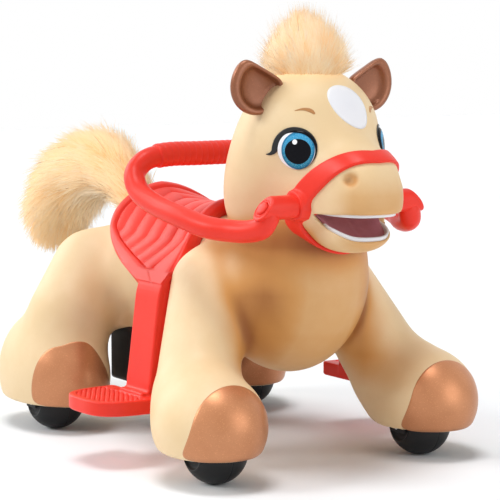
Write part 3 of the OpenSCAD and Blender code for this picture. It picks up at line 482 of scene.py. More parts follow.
class Sketch:
    """A shorthand for building a node material."""

    def __init__(self, name: str) -> None:
        """Starts a material with a Principled shader.

        Args:
            name: The material's name.
        """
        self.material = bpy.data.materials.new(name)
        self.material.use_nodes = True
        self.nodes = self.material.node_tree.nodes
        self.links = self.material.node_tree.links
        self.shader = self.nodes["Principled BSDF"]

    def put(self, socket: bpy.types.NodeSocket, value: object) -> None:
        """Sets a socket to a constant or links it to another socket.

        Args:
            socket: The socket to set.
            value: A constant, a socket, or None to leave it as it is.
        """
        if isinstance(value, bpy.types.NodeSocket):
            self.links.new(value, socket)
        elif value is not None:
            socket.default_value = value

    def node(self, kind: str, settings: dict[str, object] | None = None, **inputs: object) -> bpy.types.Node:
        """Adds a node.

        Args:
            kind: Blender's name for the node's type.
            settings: Its properties.
            **inputs: Its sockets by name, with _ for a space.

        Returns:
            The node.
        """
        n = self.nodes.new(kind)
        for key, value in (settings or {}).items():
            setattr(n, key, value)
        for key, value in inputs.items():
            self.put(n.inputs[key.replace("_", " ")], value)
        return n

    def math(self, operation: str, a: object, b: object = None, c: object = None) -> bpy.types.NodeSocket:
        """A math node's result.

        Args:
            operation: Blender's name for the operation.
            a: First value or socket.
            b: Second value or socket.
            c: Third value or socket.

        Returns:
            The socket of the result.
        """
        n = self.node("ShaderNodeMath", {"operation": operation})
        for socket, value in zip(n.inputs, (a, b, c)):
            self.put(socket, value)
        return n.outputs[0]

    def step(self, value: object, low: float, high: float) -> bpy.types.NodeSocket:
        """A smooth step of a value.

        Args:
            value: The value or its socket.
            low: Where the step is 0.
            high: Where the step is 1.

        Returns:
            The socket of the step.
        """
        n = self.node("ShaderNodeMapRange", {"interpolation_type": "SMOOTHSTEP"})
        self.put(n.inputs["Value"], value)
        n.inputs["From Min"].default_value, n.inputs["From Max"].default_value = low, high
        return n.outputs["Result"]

    def mix(self, share: object, a: object, b: object) -> bpy.types.NodeSocket:
        """A mix of two colours.

        Args:
            share: Share of the second colour.
            a: First colour or its socket.
            b: Second colour or its socket.

        Returns:
            The socket of the mixed colour.
        """
        n = self.node("ShaderNodeMix", {"data_type": "RGBA"})
        self.put(n.inputs[0], share)
        for socket, value in ((n.inputs[6], a), (n.inputs[7], b)):
            self.put(socket, (*value, 1.0) if isinstance(value, tuple) and len(value) == 3 else value)
        return n.outputs[2]

    def place(self) -> bpy.types.NodeSocket:
        """Coordinates on the object itself."""
        return self.node("ShaderNodeTexCoord").outputs["Object"]

    def noise(self, scale: float, detail: float = 2.0, stretch: Triple | None = None) -> bpy.types.NodeSocket:
        """Soft noise on the object, from 0 to 1.

        Args:
            scale: Waves to the metre.
            detail: Finer layers.
            stretch: Scale along each axis.

        Returns:
            The noise value.
        """
        at = self.place()
        if stretch:
            at = self.node("ShaderNodeMapping", None, Vector=at, Scale=stretch).outputs[0]
        return self.node("ShaderNodeTexNoise", None, Vector=at, Scale=scale, Detail=detail).outputs[0]

    def tint(self, name: str) -> bpy.types.NodeSocket:
        """A value kept at the points of the mesh."""
        return self.node("ShaderNodeAttribute", {"attribute_name": name}).outputs["Fac"]

    def bump(self, height: object, strength: float, depth: float) -> None:
        """Raises the surface by a height, in metres."""
        n = self.node("ShaderNodeBump", None, Height=height, Strength=strength, Distance=depth)
        self.put(self.shader.inputs["Normal"], n.outputs[0])

    def finish(self, **inputs: object) -> bpy.types.Material:
        """Sets the shader's sockets.

        Args:
            **inputs: Values or sockets by the socket's name, with _ for a space.

        Returns:
            The finished material.
        """
        for key, value in inputs.items():
            name = key.replace("_", " ")
            if isinstance(value, tuple) and len(value) == 3:
                value = (*value, 1.0)
            self.put(self.shader.inputs[name], value)
        return self.material


@dataclass(frozen=True)
class Moulding:
    """Moulded plastic with a fine grain, a slight mottle and softly worn gloss."""

    name: str
    colour: Triple
    mottle: Triple
    rough: Pair = (0.40, 0.50)
    grain: float = 0.00012
    specular: float = 0.4
    metal: float = 0.0

    def colour_socket(self, s: Sketch) -> bpy.types.NodeSocket:
        """The mottled colour.

        Args:
            s: The sketch of the material.

        Returns:
            The socket that gives it.
        """
        cloud = s.step(s.noise(14, 3), 0.35, 0.7)
        fine = s.step(s.noise(170, 2), 0.3, 0.75)
        return s.mix(s.math("MULTIPLY", fine, 0.25), s.mix(cloud, self.colour, self.mottle), self.mottle)

    def make(self) -> bpy.types.Material:
        """Builds the material.

        Returns:
            The material.
        """
        s = Sketch(self.name)
        gloss = s.node("ShaderNodeMapRange", None, Value=s.noise(60, 3))
        gloss.inputs["To Min"].default_value, gloss.inputs["To Max"].default_value = self.rough
        s.bump(s.noise(1500, 2), 0.35, self.grain)
        return s.finish(
            Base_Color=self.colour_socket(s),
            Roughness=gloss.outputs[0],
            Specular_IOR_Level=self.specular,
            Metallic=self.metal,
        )


@dataclass(frozen=True)
class Airbrushed(Moulding):
    """Moulded skin darkened where the mesh's shade value says: partly airbrush, partly painted shade."""

    # painted shade: warm brown, then deep brown, partly airbrush and partly shade painted into creases and hollows
    warm: Triple = (0.62, 0.30, 0.09)
    deep: Triple = (0.27, 0.085, 0.02)

    def colour_socket(self, s: Sketch) -> bpy.types.NodeSocket:
        """The mottled colour under the airbrush and the painted shade.

        Args:
            s: The sketch of the material.

        Returns:
            The socket that gives it.
        """
        base = super().colour_socket(s)
        cloud = s.math("MULTIPLY_ADD", s.noise(45, 3), 0.06, -0.03)
        shade = s.math("ADD", s.tint("shade"), s.math("MULTIPLY", cloud, s.step(s.tint("shade"), 0.05, 0.4)))
        first = s.mix(s.step(shade, 0.0, 0.62), base, self.warm)
        return s.mix(s.step(shade, 0.5, 1.05), first, self.deep)


@dataclass(frozen=True)
class Flake(Moulding):
    """Metallic paint with fine flakes."""

    def colour_socket(self, s: Sketch) -> bpy.types.NodeSocket:
        """The flaked colour.

        Args:
            s: The sketch of the material.

        Returns:
            The socket that gives it.
        """
        base = super().colour_socket(s)
        cell = s.node("ShaderNodeTexVoronoi", None, Vector=s.place(), Scale=900.0)
        spark = s.step(cell.outputs["Color"], 0.72, 0.95)
        return s.mix(s.math("MULTIPLY", spark, 0.22), base, tuple(min(1.0, c * 2.1) for c in self.colour))


@dataclass(frozen=True)
class EyePrint:
    """A glossy clear dome over a printed eye and a painted highlight, drawn from the mesh's places to the nose and up.
    """

    name: str
    half: Pair = (0.033, 0.031)
    iris: Pair = (0.0029, -0.0010)
    iris_r: float = 0.0266
    tall: float = 1.1
    pupil: Pair = (0.0032, -0.0022)
    pupil_r: float = 0.0202
    broad: float = 1.1
    spot: Pair = (-0.0019, 0.0128)
    spot_r: float = 0.0044

    @staticmethod
    def away(s: Sketch, at: Pair, half: Pair = (1.0, 1.0)) -> bpy.types.NodeSocket:
        """Distance from a place on the print.

        Args:
            s: The sketch.
            at: The place.
            half: What counts as one, along and up.

        Returns:
            The distance.
        """
        x = s.math("DIVIDE", s.math("SUBTRACT", s.tint("fore"), at[0]), half[0])
        y = s.math("DIVIDE", s.math("SUBTRACT", s.tint("up"), at[1]), half[1])
        return s.math("SQRT", s.math("ADD", s.math("MULTIPLY", x, x), s.math("MULTIPLY", y, y)))

    def lash(self, s: Sketch) -> bpy.types.NodeSocket:
        """Where the lash lies on the lens: over its upper front edge.

        Args:
            s: The sketch of the material.

        Returns:
            The socket that gives it.
        """
        turn = s.math("ARCTAN2", s.tint("up"), s.tint("fore"))
        front = s.math("MULTIPLY", s.step(turn, -0.9, 1.2), 0.13)
        rear = s.math("MULTIPLY_ADD", s.step(turn, 1.5, 2.4), -0.9, 1.0)
        wide = s.math("MULTIPLY", front, rear)
        return s.step(s.math("ADD", self.away(s, (0.0, 0.0), self.half), wide), 0.975, 1.005)

    def make(self) -> bpy.types.Material:
        """Builds the material.

        Returns:
            The material.
        """
        s = Sketch(self.name)
        r = self.away(s, self.iris, (1.03, self.tall))
        cell = s.node("ShaderNodeTexVoronoi", None, Vector=s.place(), Scale=1500.0)
        spark = s.step(cell.outputs["Color"], 0.5, 0.95)
        blue = s.mix(s.step(s.tint("up"), -0.028, 0.026), (0.010, 0.20, 0.33), (0.035, 0.32, 0.60))
        blue = s.mix(s.math("MULTIPLY", spark, 0.5), blue, (0.42, 0.78, 0.92))
        ring = s.step(r, 0.84 * self.iris_r, 0.98 * self.iris_r)
        blue = s.mix(s.math("MULTIPLY", ring, 0.6), blue, (0.006, 0.09, 0.20))
        white = s.mix(s.noise(220, 2), (0.88, 0.88, 0.90), (0.82, 0.82, 0.85))
        colour = s.mix(s.step(r, self.iris_r, self.iris_r + 0.0006), blue, white)
        dark = s.mix(s.noise(300, 2), (0.004, 0.004, 0.006), (0.008, 0.008, 0.011))
        middle = self.away(s, self.pupil, (self.broad, 1.0))
        colour = s.mix(s.step(middle, self.pupil_r, self.pupil_r - 0.0007), colour, dark)
        # painted highlight: a white spot on the pupil stands in for a reflection of the lamps
        glint = self.away(s, self.spot)
        colour = s.mix(s.step(glint, self.spot_r, self.spot_r - 0.0008), colour, (0.96, 0.97, 0.98))
        colour = s.mix(self.lash(s), colour, dark)
        s.bump(s.noise(60, 1), 0.05, 0.0004)
        return s.finish(Base_Color=colour, Roughness=0.09, Specular_IOR_Level=0.07)


@dataclass(frozen=True)
class Plush:
    """Long-pile plush: golden at the root, partly its own tone, partly painted shade; cream along the pile; frosted
    tips.
    """

    name: str
    root: Triple = (0.74, 0.38, 0.12)
    pile: Triple = (0.90, 0.60, 0.29)
    light: Triple = (0.95, 0.78, 0.53)
    frost: Triple = (0.84, 0.82, 0.79)

    def make(self) -> bpy.types.Material:
        """Builds the material.

        Returns:
            The material.
        """
        s = Sketch(self.name)
        along, lock = s.tint("along"), s.tint("lock")
        # painted shade: locks at a tuft's edge take the darker pile colour, those at its heart the light one
        body = s.mix(lock, self.pile, self.light)
        # the root colour is partly the pile's own golden tone and partly painted shade deep in the pile
        colour = s.mix(s.step(along, 0.02, 0.40), self.root, body)
        colour = s.mix(s.math("MULTIPLY", s.step(along, 0.5, 1.0), s.tint("frost")), colour, self.frost)
        fine = s.math("MULTIPLY", s.noise(700, 2), 0.2)
        s.bump(s.noise(900, 2), 0.2, 0.0004)
        return s.finish(
            Base_Color=s.mix(fine, colour, self.pile), Roughness=0.75, Specular_IOR_Level=0.1, Sheen_Weight=0.4
        )


@dataclass(frozen=True)
class Metal:
    """Bright drawn steel with faint turning marks."""

    name: str
    colour: Triple = (0.58, 0.58, 0.60)

    def make(self) -> bpy.types.Material:
        """Builds the material.

        Returns:
            The material.
        """
        s = Sketch(self.name)
        marks = s.noise(500, 3, (1.0, 0.05, 1.0))
        gloss = s.node("ShaderNodeMapRange", None, Value=marks)
        gloss.inputs["To Min"].default_value, gloss.inputs["To Max"].default_value = 0.22, 0.42
        colour = s.mix(s.math("MULTIPLY", marks, 0.4), self.colour, (0.42, 0.42, 0.44))
        s.bump(marks, 0.15, 0.0001)
        return s.finish(Base_Color=colour, Roughness=gloss.outputs[0], Metallic=1.0)


class Finish(Enum):
    """Every finish on the pony."""

    SKIN = Airbrushed("tan_skin", (0.84, 0.645, 0.395), (0.81, 0.60, 0.345), (0.40, 0.50), specular=0.25)
    RED = Moulding("red_grain", (0.86, 0.040, 0.022), (0.81, 0.034, 0.018), (0.33, 0.42), 0.00016, 0.26)
    COPPER = Flake("copper_paint", (0.57, 0.245, 0.112), (0.50, 0.205, 0.088), (0.34, 0.42), 0.00006, 0.5, 0.45)
    # painted shade: the ears' copper paint made darker because they face away from the light
    EAR = Flake("ear_paint", (0.29, 0.100, 0.042), (0.25, 0.083, 0.034), (0.30, 0.38), 0.00006, 0.6, 0.35)
    BLACK = Moulding("black_grain", (0.010, 0.010, 0.011), (0.016, 0.016, 0.017), (0.38, 0.52), specular=0.22)
    WHITE = Moulding("white_paint", (0.86, 0.86, 0.89), (0.82, 0.82, 0.86), (0.36, 0.44))
    TOOTH = Moulding("tooth_paint", (0.78, 0.77, 0.78), (0.72, 0.71, 0.73), (0.28, 0.36))
    MAUVE = Moulding("tongue_paint", (0.46, 0.17, 0.22), (0.38, 0.12, 0.16), (0.34, 0.44), specular=0.2)
    LASH = Moulding("lash_paint", (0.006, 0.006, 0.007), (0.010, 0.010, 0.011), (0.26, 0.34))
    BROW = Moulding("brow_paint", (0.50, 0.235, 0.085), (0.45, 0.205, 0.07), (0.38, 0.46))
    BOARD = Moulding("board_lacquer", (0.02, 0.16, 0.06), (0.015, 0.12, 0.05), (0.25, 0.40))
    EYE = EyePrint("eye_print")
    PLUSH = Plush("long_pile")
    GOLD = Plush("golden_pile", (0.78, 0.41, 0.13), (0.90, 0.57, 0.24), (0.94, 0.72, 0.42))
    STEEL = Metal("drawn_steel")

    @property
    def material(self) -> bpy.types.Material:
        """The finish's material, made once."""
        return bpy.data.materials.get(self.value.name) or self.value.make()


# The pony's forms


@dataclass(frozen=True)
class Limb:
    """A leg: a tapering rod from hip to knee that runs into a rounded foot."""

    hip: Triple
    hip_r: float
    knee: Triple
    knee_r: float
    foot: Triple
    foot_r: Triple
    blend: float = 40.0

    def field(self, p: Array) -> Array:
        """Field of the leg without its flat sole, on the left side."""
        shank = rod(p, self.hip, self.knee, self.hip_r, self.knee_r)
        return soft_min(shank, ellipsoid(p, self.foot, self.foot_r), self.blend)


@dataclass(frozen=True)
class Anatomy:
    """The forms of body and head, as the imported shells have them."""

    front: Limb = Limb((-148, 126, 298), 60, (-74, 192, 141), 69, (-7, 213, 95), (106, 87, 88))
    rear: Limb = Limb((-556, 115, 277), 76, (-530, 174, 210), 75, (-566, 192, 95), (132, 90, 120))
    sole_z: float = 50.0
    web_z: float = 141.0
    caster: Pair = (8.0, 205.0)
    swing: float = 63.0
    wall: float = 12.0
    thin_wall: float = 5.0
    axle_z: float = 54.0
    chest: Form = ((-99, 0, 294), (132, 126, 146))
    barrel: Form = ((-290, 0, 298), (290, 122, 96))
    rump: Form = ((-466, 0, 291), (145, 124, 99))
    neck: Form = ((-80, 0, 330), (-45, 0, 450))
    neck_r: Pair = (105.0, 100.0)
    skull: Form = ((-35, 0, 545), (112, 112, 111))
    nape: Form = ((-76, 0, 452), (101, 125, 125))
    cheeks: Form = ((25, 0, 442), (62, 82, 55))
    lip_z: float = 430.0
    chin: Form = ((80, 0, 405), (66, 58, 41))
    muzzle: Form = ((97, 0, 466), (80, 62, 68))
    lean: float = 0.15
    nostril: Triple = (141, 47, 486)
    dimple: Triple = (11, 8, 9)
    bowl_z: float = 380.0
    mouth_x: float = 55.0
    roof: Form = ((100, 0, 428), (52, 40, 13))
    tray: Form = ((-467.5, 0, 163.5), (77.5, 88, 84.5))
    collar_z: float = 183.0

    def torso(self, p: Array) -> Array:
        """Field of chest, barrel, rump and neck.

        Args:
            p: Points, one a row.

        Returns:
            The field at each point.
        """
        trunk = soft_min(ellipsoid(p, *self.chest), ellipsoid(p, *self.barrel), 60)
        back = soft_min(trunk, ellipsoid(p, *self.rump), 60)
        return soft_min(back, rod(p, *self.neck, *self.neck_r), 50)

    def body(self, p: Array) -> Array:
        """Field of the body skin with its wheel wells and belly window.

        Args:
            p: Points, one a row.

        Returns:
            The field at each point.
        """
        q = both_sides(p)
        front, rear = self.front.field(q), self.rear.field(q)
        (x, _, z), (half_x, half_y, half_z) = self.tray
        collar = round_box(p, (x, 0, self.collar_z + 40), (half_x + 5, half_y + 5, 40), 5)
        trunk = soft_min(self.torso(p), collar, 14)
        whole = soft_min(soft_min(trunk, front, 45), rear, 45)
        whole = soft_max(whole, self.sole_z - p[..., 2], 10)
        pin = np.hypot(q[..., 0] - self.caster[0], q[..., 1] - self.caster[1]) - self.swing
        below = p[..., 2] - self.web_z
        beside_axle = np.clip(self.thin_wall + 0.25 * (p[..., 2] - self.axle_z), self.thin_wall, self.wall)
        front_well = np.maximum(np.maximum(front + beside_axle, pin), below)
        wells = np.minimum(front_well, np.maximum(rear + self.wall, below))
        window = round_box(p, (x, 0, z - 6), (half_x + 1.5, half_y + 1.5, half_z + 6), 8)
        return soft_max(soft_max(whole, -wells, 3), -window, 3)

    def head(self, p: Array) -> Array:
        """Field of the head without its lower jaw.

        Args:
            p: Points, one a row.

        Returns:
            The field at each point.
        """
        skull = soft_min(ellipsoid(p, *self.skull), ellipsoid(p, *self.nape), 60)
        face = soft_min(skull, ellipsoid(p, *self.cheeks), 40)
        leaning = np.stack([p[..., 0] + self.lean * (p[..., 2] - self.lip_z), p[..., 1], p[..., 2]], axis=-1)
        nose = soft_max(boxy(leaning, *self.muzzle, 2.5), self.lip_z - p[..., 2], 8)
        return soft_min(face, nose, 62)

    def jaw(self, p: Array) -> Array:
        """Field of the lower jaw as a whole form."""
        return boxy(p, *self.chin, 2.3)

    def rim(self, p: Array) -> Array:
        """Height over the rim of the lower lip, which climbs to the corners of the mouth."""
        side = 5 * np.maximum(0, (np.abs(p[..., 1]) - 25) / 22) ** 2
        return p[..., 2] - 387 - 0.2 * (136 - p[..., 0]) - side - 22 * np.maximum(0, (94 - p[..., 0]) / 38) ** 2

    def face(self, p: Array) -> Array:
        """Field of the whole head with its open mouth and nostrils.

        Args:
            p: Points, one a row.

        Returns:
            The field at each point.
        """
        q = both_sides(p)
        head, jaw, rim = self.head(p), self.jaw(p), self.rim(p)
        lower = soft_max(jaw, rim, 4)
        bowl = np.maximum(jaw + 5, self.bowl_z - p[..., 2])
        lower = soft_max(lower, -bowl, 2)
        whole = soft_min(head, lower, 20)
        gape = np.maximum(np.maximum(p[..., 2] - self.lip_z + 1.5, 1 - rim), self.mouth_x - p[..., 0])
        roof = ellipsoid(p, *self.roof)
        whole = soft_max(whole, -np.minimum(gape, roof), 3)
        dimple = ellipsoid(q, self.nostril, self.dimple)
        return soft_max(whole, -dimple, 10)

    def shell(self, p: Array) -> Array:
        """Field of the head and the jaw as closed forms, for what lies on them."""
        return soft_min(self.head(p), self.jaw(p), 24)


ANATOMY = Anatomy()


class Workshop:
    """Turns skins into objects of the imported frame."""

    def __init__(self, frame: dict) -> None:
        """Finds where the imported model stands.

        Args:
            frame: What the loader gave.
        """
        self.frame = frame
        joints = {j["name"]: j for j in frame["record"]["behaviour"]["joints"]}
        self.shift = np.array([joints["rein_lift"]["pos_m"][0] - HUB[0] * MM, 0.0, 0.0])

    def row(self, point: Sequence[float]) -> Vector:
        """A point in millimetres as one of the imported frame."""
        return Vector(np.array(point, float) * MM + self.shift)

    def make(
        self,
        name: str,
        skin: Skin,
        finish: Finish,
        slot: str,
        body: str = "pony",
        nodes: Sequence[str] = (),
    ) -> bpy.types.Object:
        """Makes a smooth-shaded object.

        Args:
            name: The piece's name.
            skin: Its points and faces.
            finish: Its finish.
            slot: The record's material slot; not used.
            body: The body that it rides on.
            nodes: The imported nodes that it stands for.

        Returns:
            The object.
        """
        mesh = bpy.data.meshes.new(name)
        mesh.from_pydata(skin.points * MM + self.shift, [], [list(map(int, f)) for f in skin.faces])
        mesh.shade_smooth()
        for key, values in skin.tints.items():
            mesh.attributes.new(key, "FLOAT", "POINT").data.foreach_set("value", values.astype(np.float32))
        mesh.materials.append(finish.material)
        mesh.update()
        if skin.normals is not None:
            mesh.normals_split_custom_set_from_vertices(skin.normals)
        obj = bpy.data.objects.new(name, mesh)
        bpy.context.collection.objects.link(obj)
        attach(obj, body)
        if nodes:
            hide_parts(*nodes)
        log.info("%s: %d points, %d faces", name, len(mesh.vertices), len(mesh.polygons))
        return obj


@dataclass
class BodyShell:
    """The moulded body with its four legs in one skin, with airbrush and painted shade in its creases and hollows."""

    step: float = 3.6
    low: Triple = (-712, -310, 44)
    high: Triple = (112, 310, 480)
    crease: float = 22.0

    def shade(self, p: Array) -> Array:
        """How dark the airbrush and painted shade are at points of the skin.

        Args:
            p: The points.

        Returns:
            0 for bare and 1 for the deepest painted shade.
        """
        q = both_sides(p)
        x, y, z = q.T
        torso, front, rear = ANATOMY.torso(p), ANATOMY.front.field(q), ANATOMY.rear.field(q)
        # painted shade, partly airbrush: in the creases by the legs, under the head, on the chest, on the inner flanks
        # and underneath
        by_front = bell(torso - front, self.crease) * bell(np.maximum(0, 0.5 * (torso + front)), 30)
        by_rear = bell(torso - rear + 14, 2 * self.crease)
        neck = bell(np.maximum(0, ANATOMY.head(p)), 34) * fade(z, 430, 370)
        chest = fade(x, -75, -5) * fade(front - torso, -18, 12) * fade(z, 130, 220)
        inner = fade(y, 150, 90) * fade(z, 230, 140)
        beside = fade(y, 180, 120) * np.maximum(fade(y, 35, 105), 0.2)
        flank = beside * fade(x, -120, -50) * fade(z, 110, 170) * fade(z, 360, 290)
        creases = 0.32 * by_front + 0.12 * by_rear + 0.9 * neck
        return np.clip(creases + 0.3 * chest + 0.58 * flank + 0.3 * inner, 0, 1)

    def build(self, shop: Workshop) -> None:
        """Makes the skin and dresses it.

        Args:
            shop: The workshop that makes the objects.
        """
        skin = FieldMesher(ANATOMY.body, self.low, self.high, self.step).skin()
        skin.tints["shade"] = self.shade(skin.points)
        legs = [f"{end}_leg_{side.word}" for end in ("front", "rear") for side in Side]
        shop.make("body_skin", skin, Finish.SKIN, "tan_shell", nodes=["torso_shell", *legs])


@dataclass(frozen=True)
class HoofEdge:
    """The edge of a hoof cap: swept back towards the sole and rounded over at the top."""

    limb: Limb
    fore: float
    sweep: float
    height: float
    bow: float
    top: float = 200.0
    droop: float = 0.0

    def covers(self, p: Array) -> Array:
        """Which points of the foot lie on the cap's side of its edge.

        Args:
            p: Points on the foot.

        Returns:
            True for the points under the cap.
        """
        fore, up = p[..., 0] - self.limb.foot[0], p[..., 2] - ANATOMY.sole_z
        fall = np.maximum(0, 1 - up / self.height)
        inner = np.maximum(0, self.limb.foot[1] - np.abs(p[..., 1]))
        return (fore > self.fore - self.sweep * fall**self.bow) & (up > 2) & (up < self.top - self.droop * inner**1.5)

    def foot(self, p: Array) -> Array:
        """Field of the foot with its flat sole."""
        return soft_max(self.limb.field(p), ANATOMY.sole_z - p[..., 2], 10)


@dataclass
class HoofCaps:
    """Copper toe caps that lie flush on the feet with a fine edge."""

    edges: dict[str, HoofEdge] = field(default_factory=lambda: {
        "front": HoofEdge(ANATOMY.front, 61, 34, 66, 2.0),
        "rear": HoofEdge(ANATOMY.rear, 104, 46, 109, 0.25, 117, 0.19),
    })
    proud: float = 1.3
    rows: int = 46
    spokes: int = 120

    def toe(self, edge: HoofEdge, turn: Array, open_: Array, lift: Array | float) -> Array:
        """Points on the toe of a left foot.

        Args:
            edge: The cap's edge.
            turn: Angles round the foot's length.
            open_: Angles away from straight ahead.
            lift: Height over the foot.

        Returns:
            The points, in the shape of the angles.
        """
        aside = np.sin(open_)
        way = np.stack([np.cos(open_), aside * np.cos(turn), aside * np.sin(turn)], axis=-1).reshape(-1, 3)
        start = np.repeat(np.array([edge.limb.foot], float), len(way), axis=0)
        out = reach(edge.foot, start, way) + np.broadcast_to(lift, open_.shape).ravel()
        return (start + out[:, None] * way).reshape(*open_.shape, 3)

    def cap(self, edge: HoofEdge) -> Skin:
        """A left cap.

        Args:
            edge: Its edge.

        Returns:
            Its closed skin.
        """
        turn = np.linspace(0, 2 * np.pi, self.spokes, endpoint=False)
        low, high = np.full(self.spokes, 0.05), np.full(self.spokes, 1.6)
        for _ in range(18):
            mid = (low + high) / 2
            on = edge.covers(self.toe(edge, turn, mid, 0.0))
            low, high = np.where(on, mid, low), np.where(on, high, mid)
        for _ in range(8):
            low = 0.5 * low + 0.25 * (np.roll(low, 1) + np.roll(low, -1))
        share = np.sin(np.linspace(0.01, np.pi / 2, self.rows))[:, None]
        lift = self.proud * np.sqrt(np.clip((1 - share) / 0.035, 0, 1)) - 0.4
        turns = np.ones((self.rows, 1)) * turn
        top = self.toe(edge, turns, share * low, lift * np.ones_like(turns))
        back = self.toe(edge, turns, share * low, -3.0)
        return closed_rings(np.concatenate([back, top[::-1]]))

    def build(self, shop: Workshop) -> None:
        """Makes the four caps.

        Args:
            shop: The workshop that makes the objects.
        """
        for end, edge in self.edges.items():
            skin = self.cap(edge)
            for side in Side:
                name = f"hoof_{end}_{side.word}"
                shop.make(f"{name}_cap", skin.on(side), Finish.COPPER, "copper_brown", nodes=[name])


@dataclass
class Head:
    """The head and lower jaw in one moulded skin with an open, smiling mouth."""

    step: float = 2.6
    low: Triple = (-190, -140, 318)
    high: Triple = (190, 140, 668)

    @staticmethod
    def field(p: Array) -> Array:
        """Field of the head down to where it sinks into the neck."""
        return np.maximum(ANATOMY.face(p), 372 - p[..., 2] - 0.9 * np.maximum(0, p[..., 0] + 20))

    def shade(self, p: Array) -> Array:
        """How dark the airbrush and painted shade are at points of the head.

        Args:
            p: The points.

        Returns:
            0 for bare and 1 for the deepest painted shade.
        """
        x, _, z = p.T
        # painted shade, partly airbrush: in the nostrils, where the head meets the neck, in the crease of the lips,
        # under the chin and on the front of the muzzle
        off = (both_sides(p) - np.array(ANATOMY.nostril)) / np.array([10, 9, 9])
        nostril = bell(np.linalg.norm(off, axis=1), 1)
        neck = bell(np.maximum(0, ANATOMY.torso(p)), 22) * fade(z, 440, 400)
        lips = bell(ANATOMY.head(p) - ANATOMY.jaw(p), 12) * fade(x, 30, 90)
        chin = fade(z, 470, 380) * fade(x, 0, 60)
        snout = fade(x, 105, 150) * fade(z, 520, 460)
        return np.clip(0.6 * nostril + 0.7 * neck + 0.14 * lips + 0.2 * chin + 0.36 * snout, 0, 1)

    def build(self, shop: Workshop) -> None:
        """Makes the skin and dresses it.

        Args:
            shop: The workshop that makes the objects.
        """
        skin = FieldMesher(self.field, self.low, self.high, self.step).skin()
        skin.tints["shade"] = self.shade(skin.points)
        shop.make("head_skin", skin, Finish.SKIN, "tan_shell", nodes=["head_shell", "lower_jaw"])


@dataclass
class Mouth:
    """Tooth bands along the lips and a tongue in the bowl of the jaw."""

    step: float = 1.4

    def upper(self, p: Array) -> Array:
        """Field of the upper tooth band.

        Args:
            p: Points, one a row.

        Returns:
            The field at each point.
        """
        outline = boxy(p * np.array([1, 1, 0]), (94, 0, 0), (66, 52, 1), 2.5)
        band = np.maximum(np.abs(outline + 3) - 3, 52 - p[..., 0])
        return soft_max(band, np.abs(p[..., 2] - 431) - 5.5, 3)

    def lower(self, p: Array) -> Array:
        """Field of the lower tooth band."""
        ring = np.abs(ANATOMY.jaw(p) + 6.4) - 2.6
        return soft_max(soft_max(ring, np.abs(ANATOMY.rim(p)) - 6.5, 3), 60 - p[..., 0], 3)

    def tongue(self, p: Array) -> Array:
        """Field of the tongue and the lining of the mouth, which climb together to the throat.

        Args:
            p: Points, one a row.

        Returns:
            The field at each point.
        """
        x, y, z = p[..., 0], p[..., 1], p[..., 2]
        ramp = 386 + 42 * fade(x, 124, 58) ** 1.3 - 1.5 * bell(y, 5) + (y / 20) ** 2
        walls = np.maximum(ANATOMY.shell(p) + 8, ANATOMY.jaw(p) + 5 - 60 * fade(z, 398, 428))
        return np.maximum(soft_max(walls, np.minimum(z - ramp, z - 372), 3), np.maximum(366 - z, 34 - x))

    def build(self, shop: Workshop) -> None:
        """Makes the three pieces.

        Args:
            shop: The workshop that makes the objects.
        """
        low, high = (20, -66, 358), (182, 66, 442)
        pieces = (
            ("upper_teeth", self.upper, Finish.TOOTH, "tooth_white"),
            ("lower_teeth", self.lower, Finish.TOOTH, "tooth_white"),
            ("tongue", self.tongue, Finish.MAUVE, "tongue_mauve"),
        )
        for name, f, finish, slot in pieces:
            shop.make(f"{name}_form", FieldMesher(f, low, high, self.step).skin(), finish, slot, nodes=[name])


@dataclass
class FacePatch:
    """A plane beside the head from which shapes are laid on the face."""

    origin: Triple = (-15, 0, 528)
    way: Triple = (0.60, 0.80, 0.0)

    def axes(self) -> Array:
        """The plane's side, up and outward directions, as rows.

        Returns:
            The three directions.
        """
        out = unit(np.array(self.way))
        side = unit(np.cross([0, 0, 1], out))
        return np.stack([side, np.cross(out, side), out])

    def lay(self, u: Array, v: Array, lift: Array | float) -> Array:
        """Points on the face.

        Args:
            u: Distances to the side.
            v: Distances up.
            lift: Height over the face.

        Returns:
            The points, in the shape of u.
        """
        side, up, out = self.axes()
        start = (np.array(self.origin) + u[..., None] * side + v[..., None] * up).reshape(-1, 3)
        far = reach(ANATOMY.head, start, out) + np.broadcast_to(lift, u.shape).ravel()
        return (start + far[:, None] * out).reshape(*u.shape, 3)


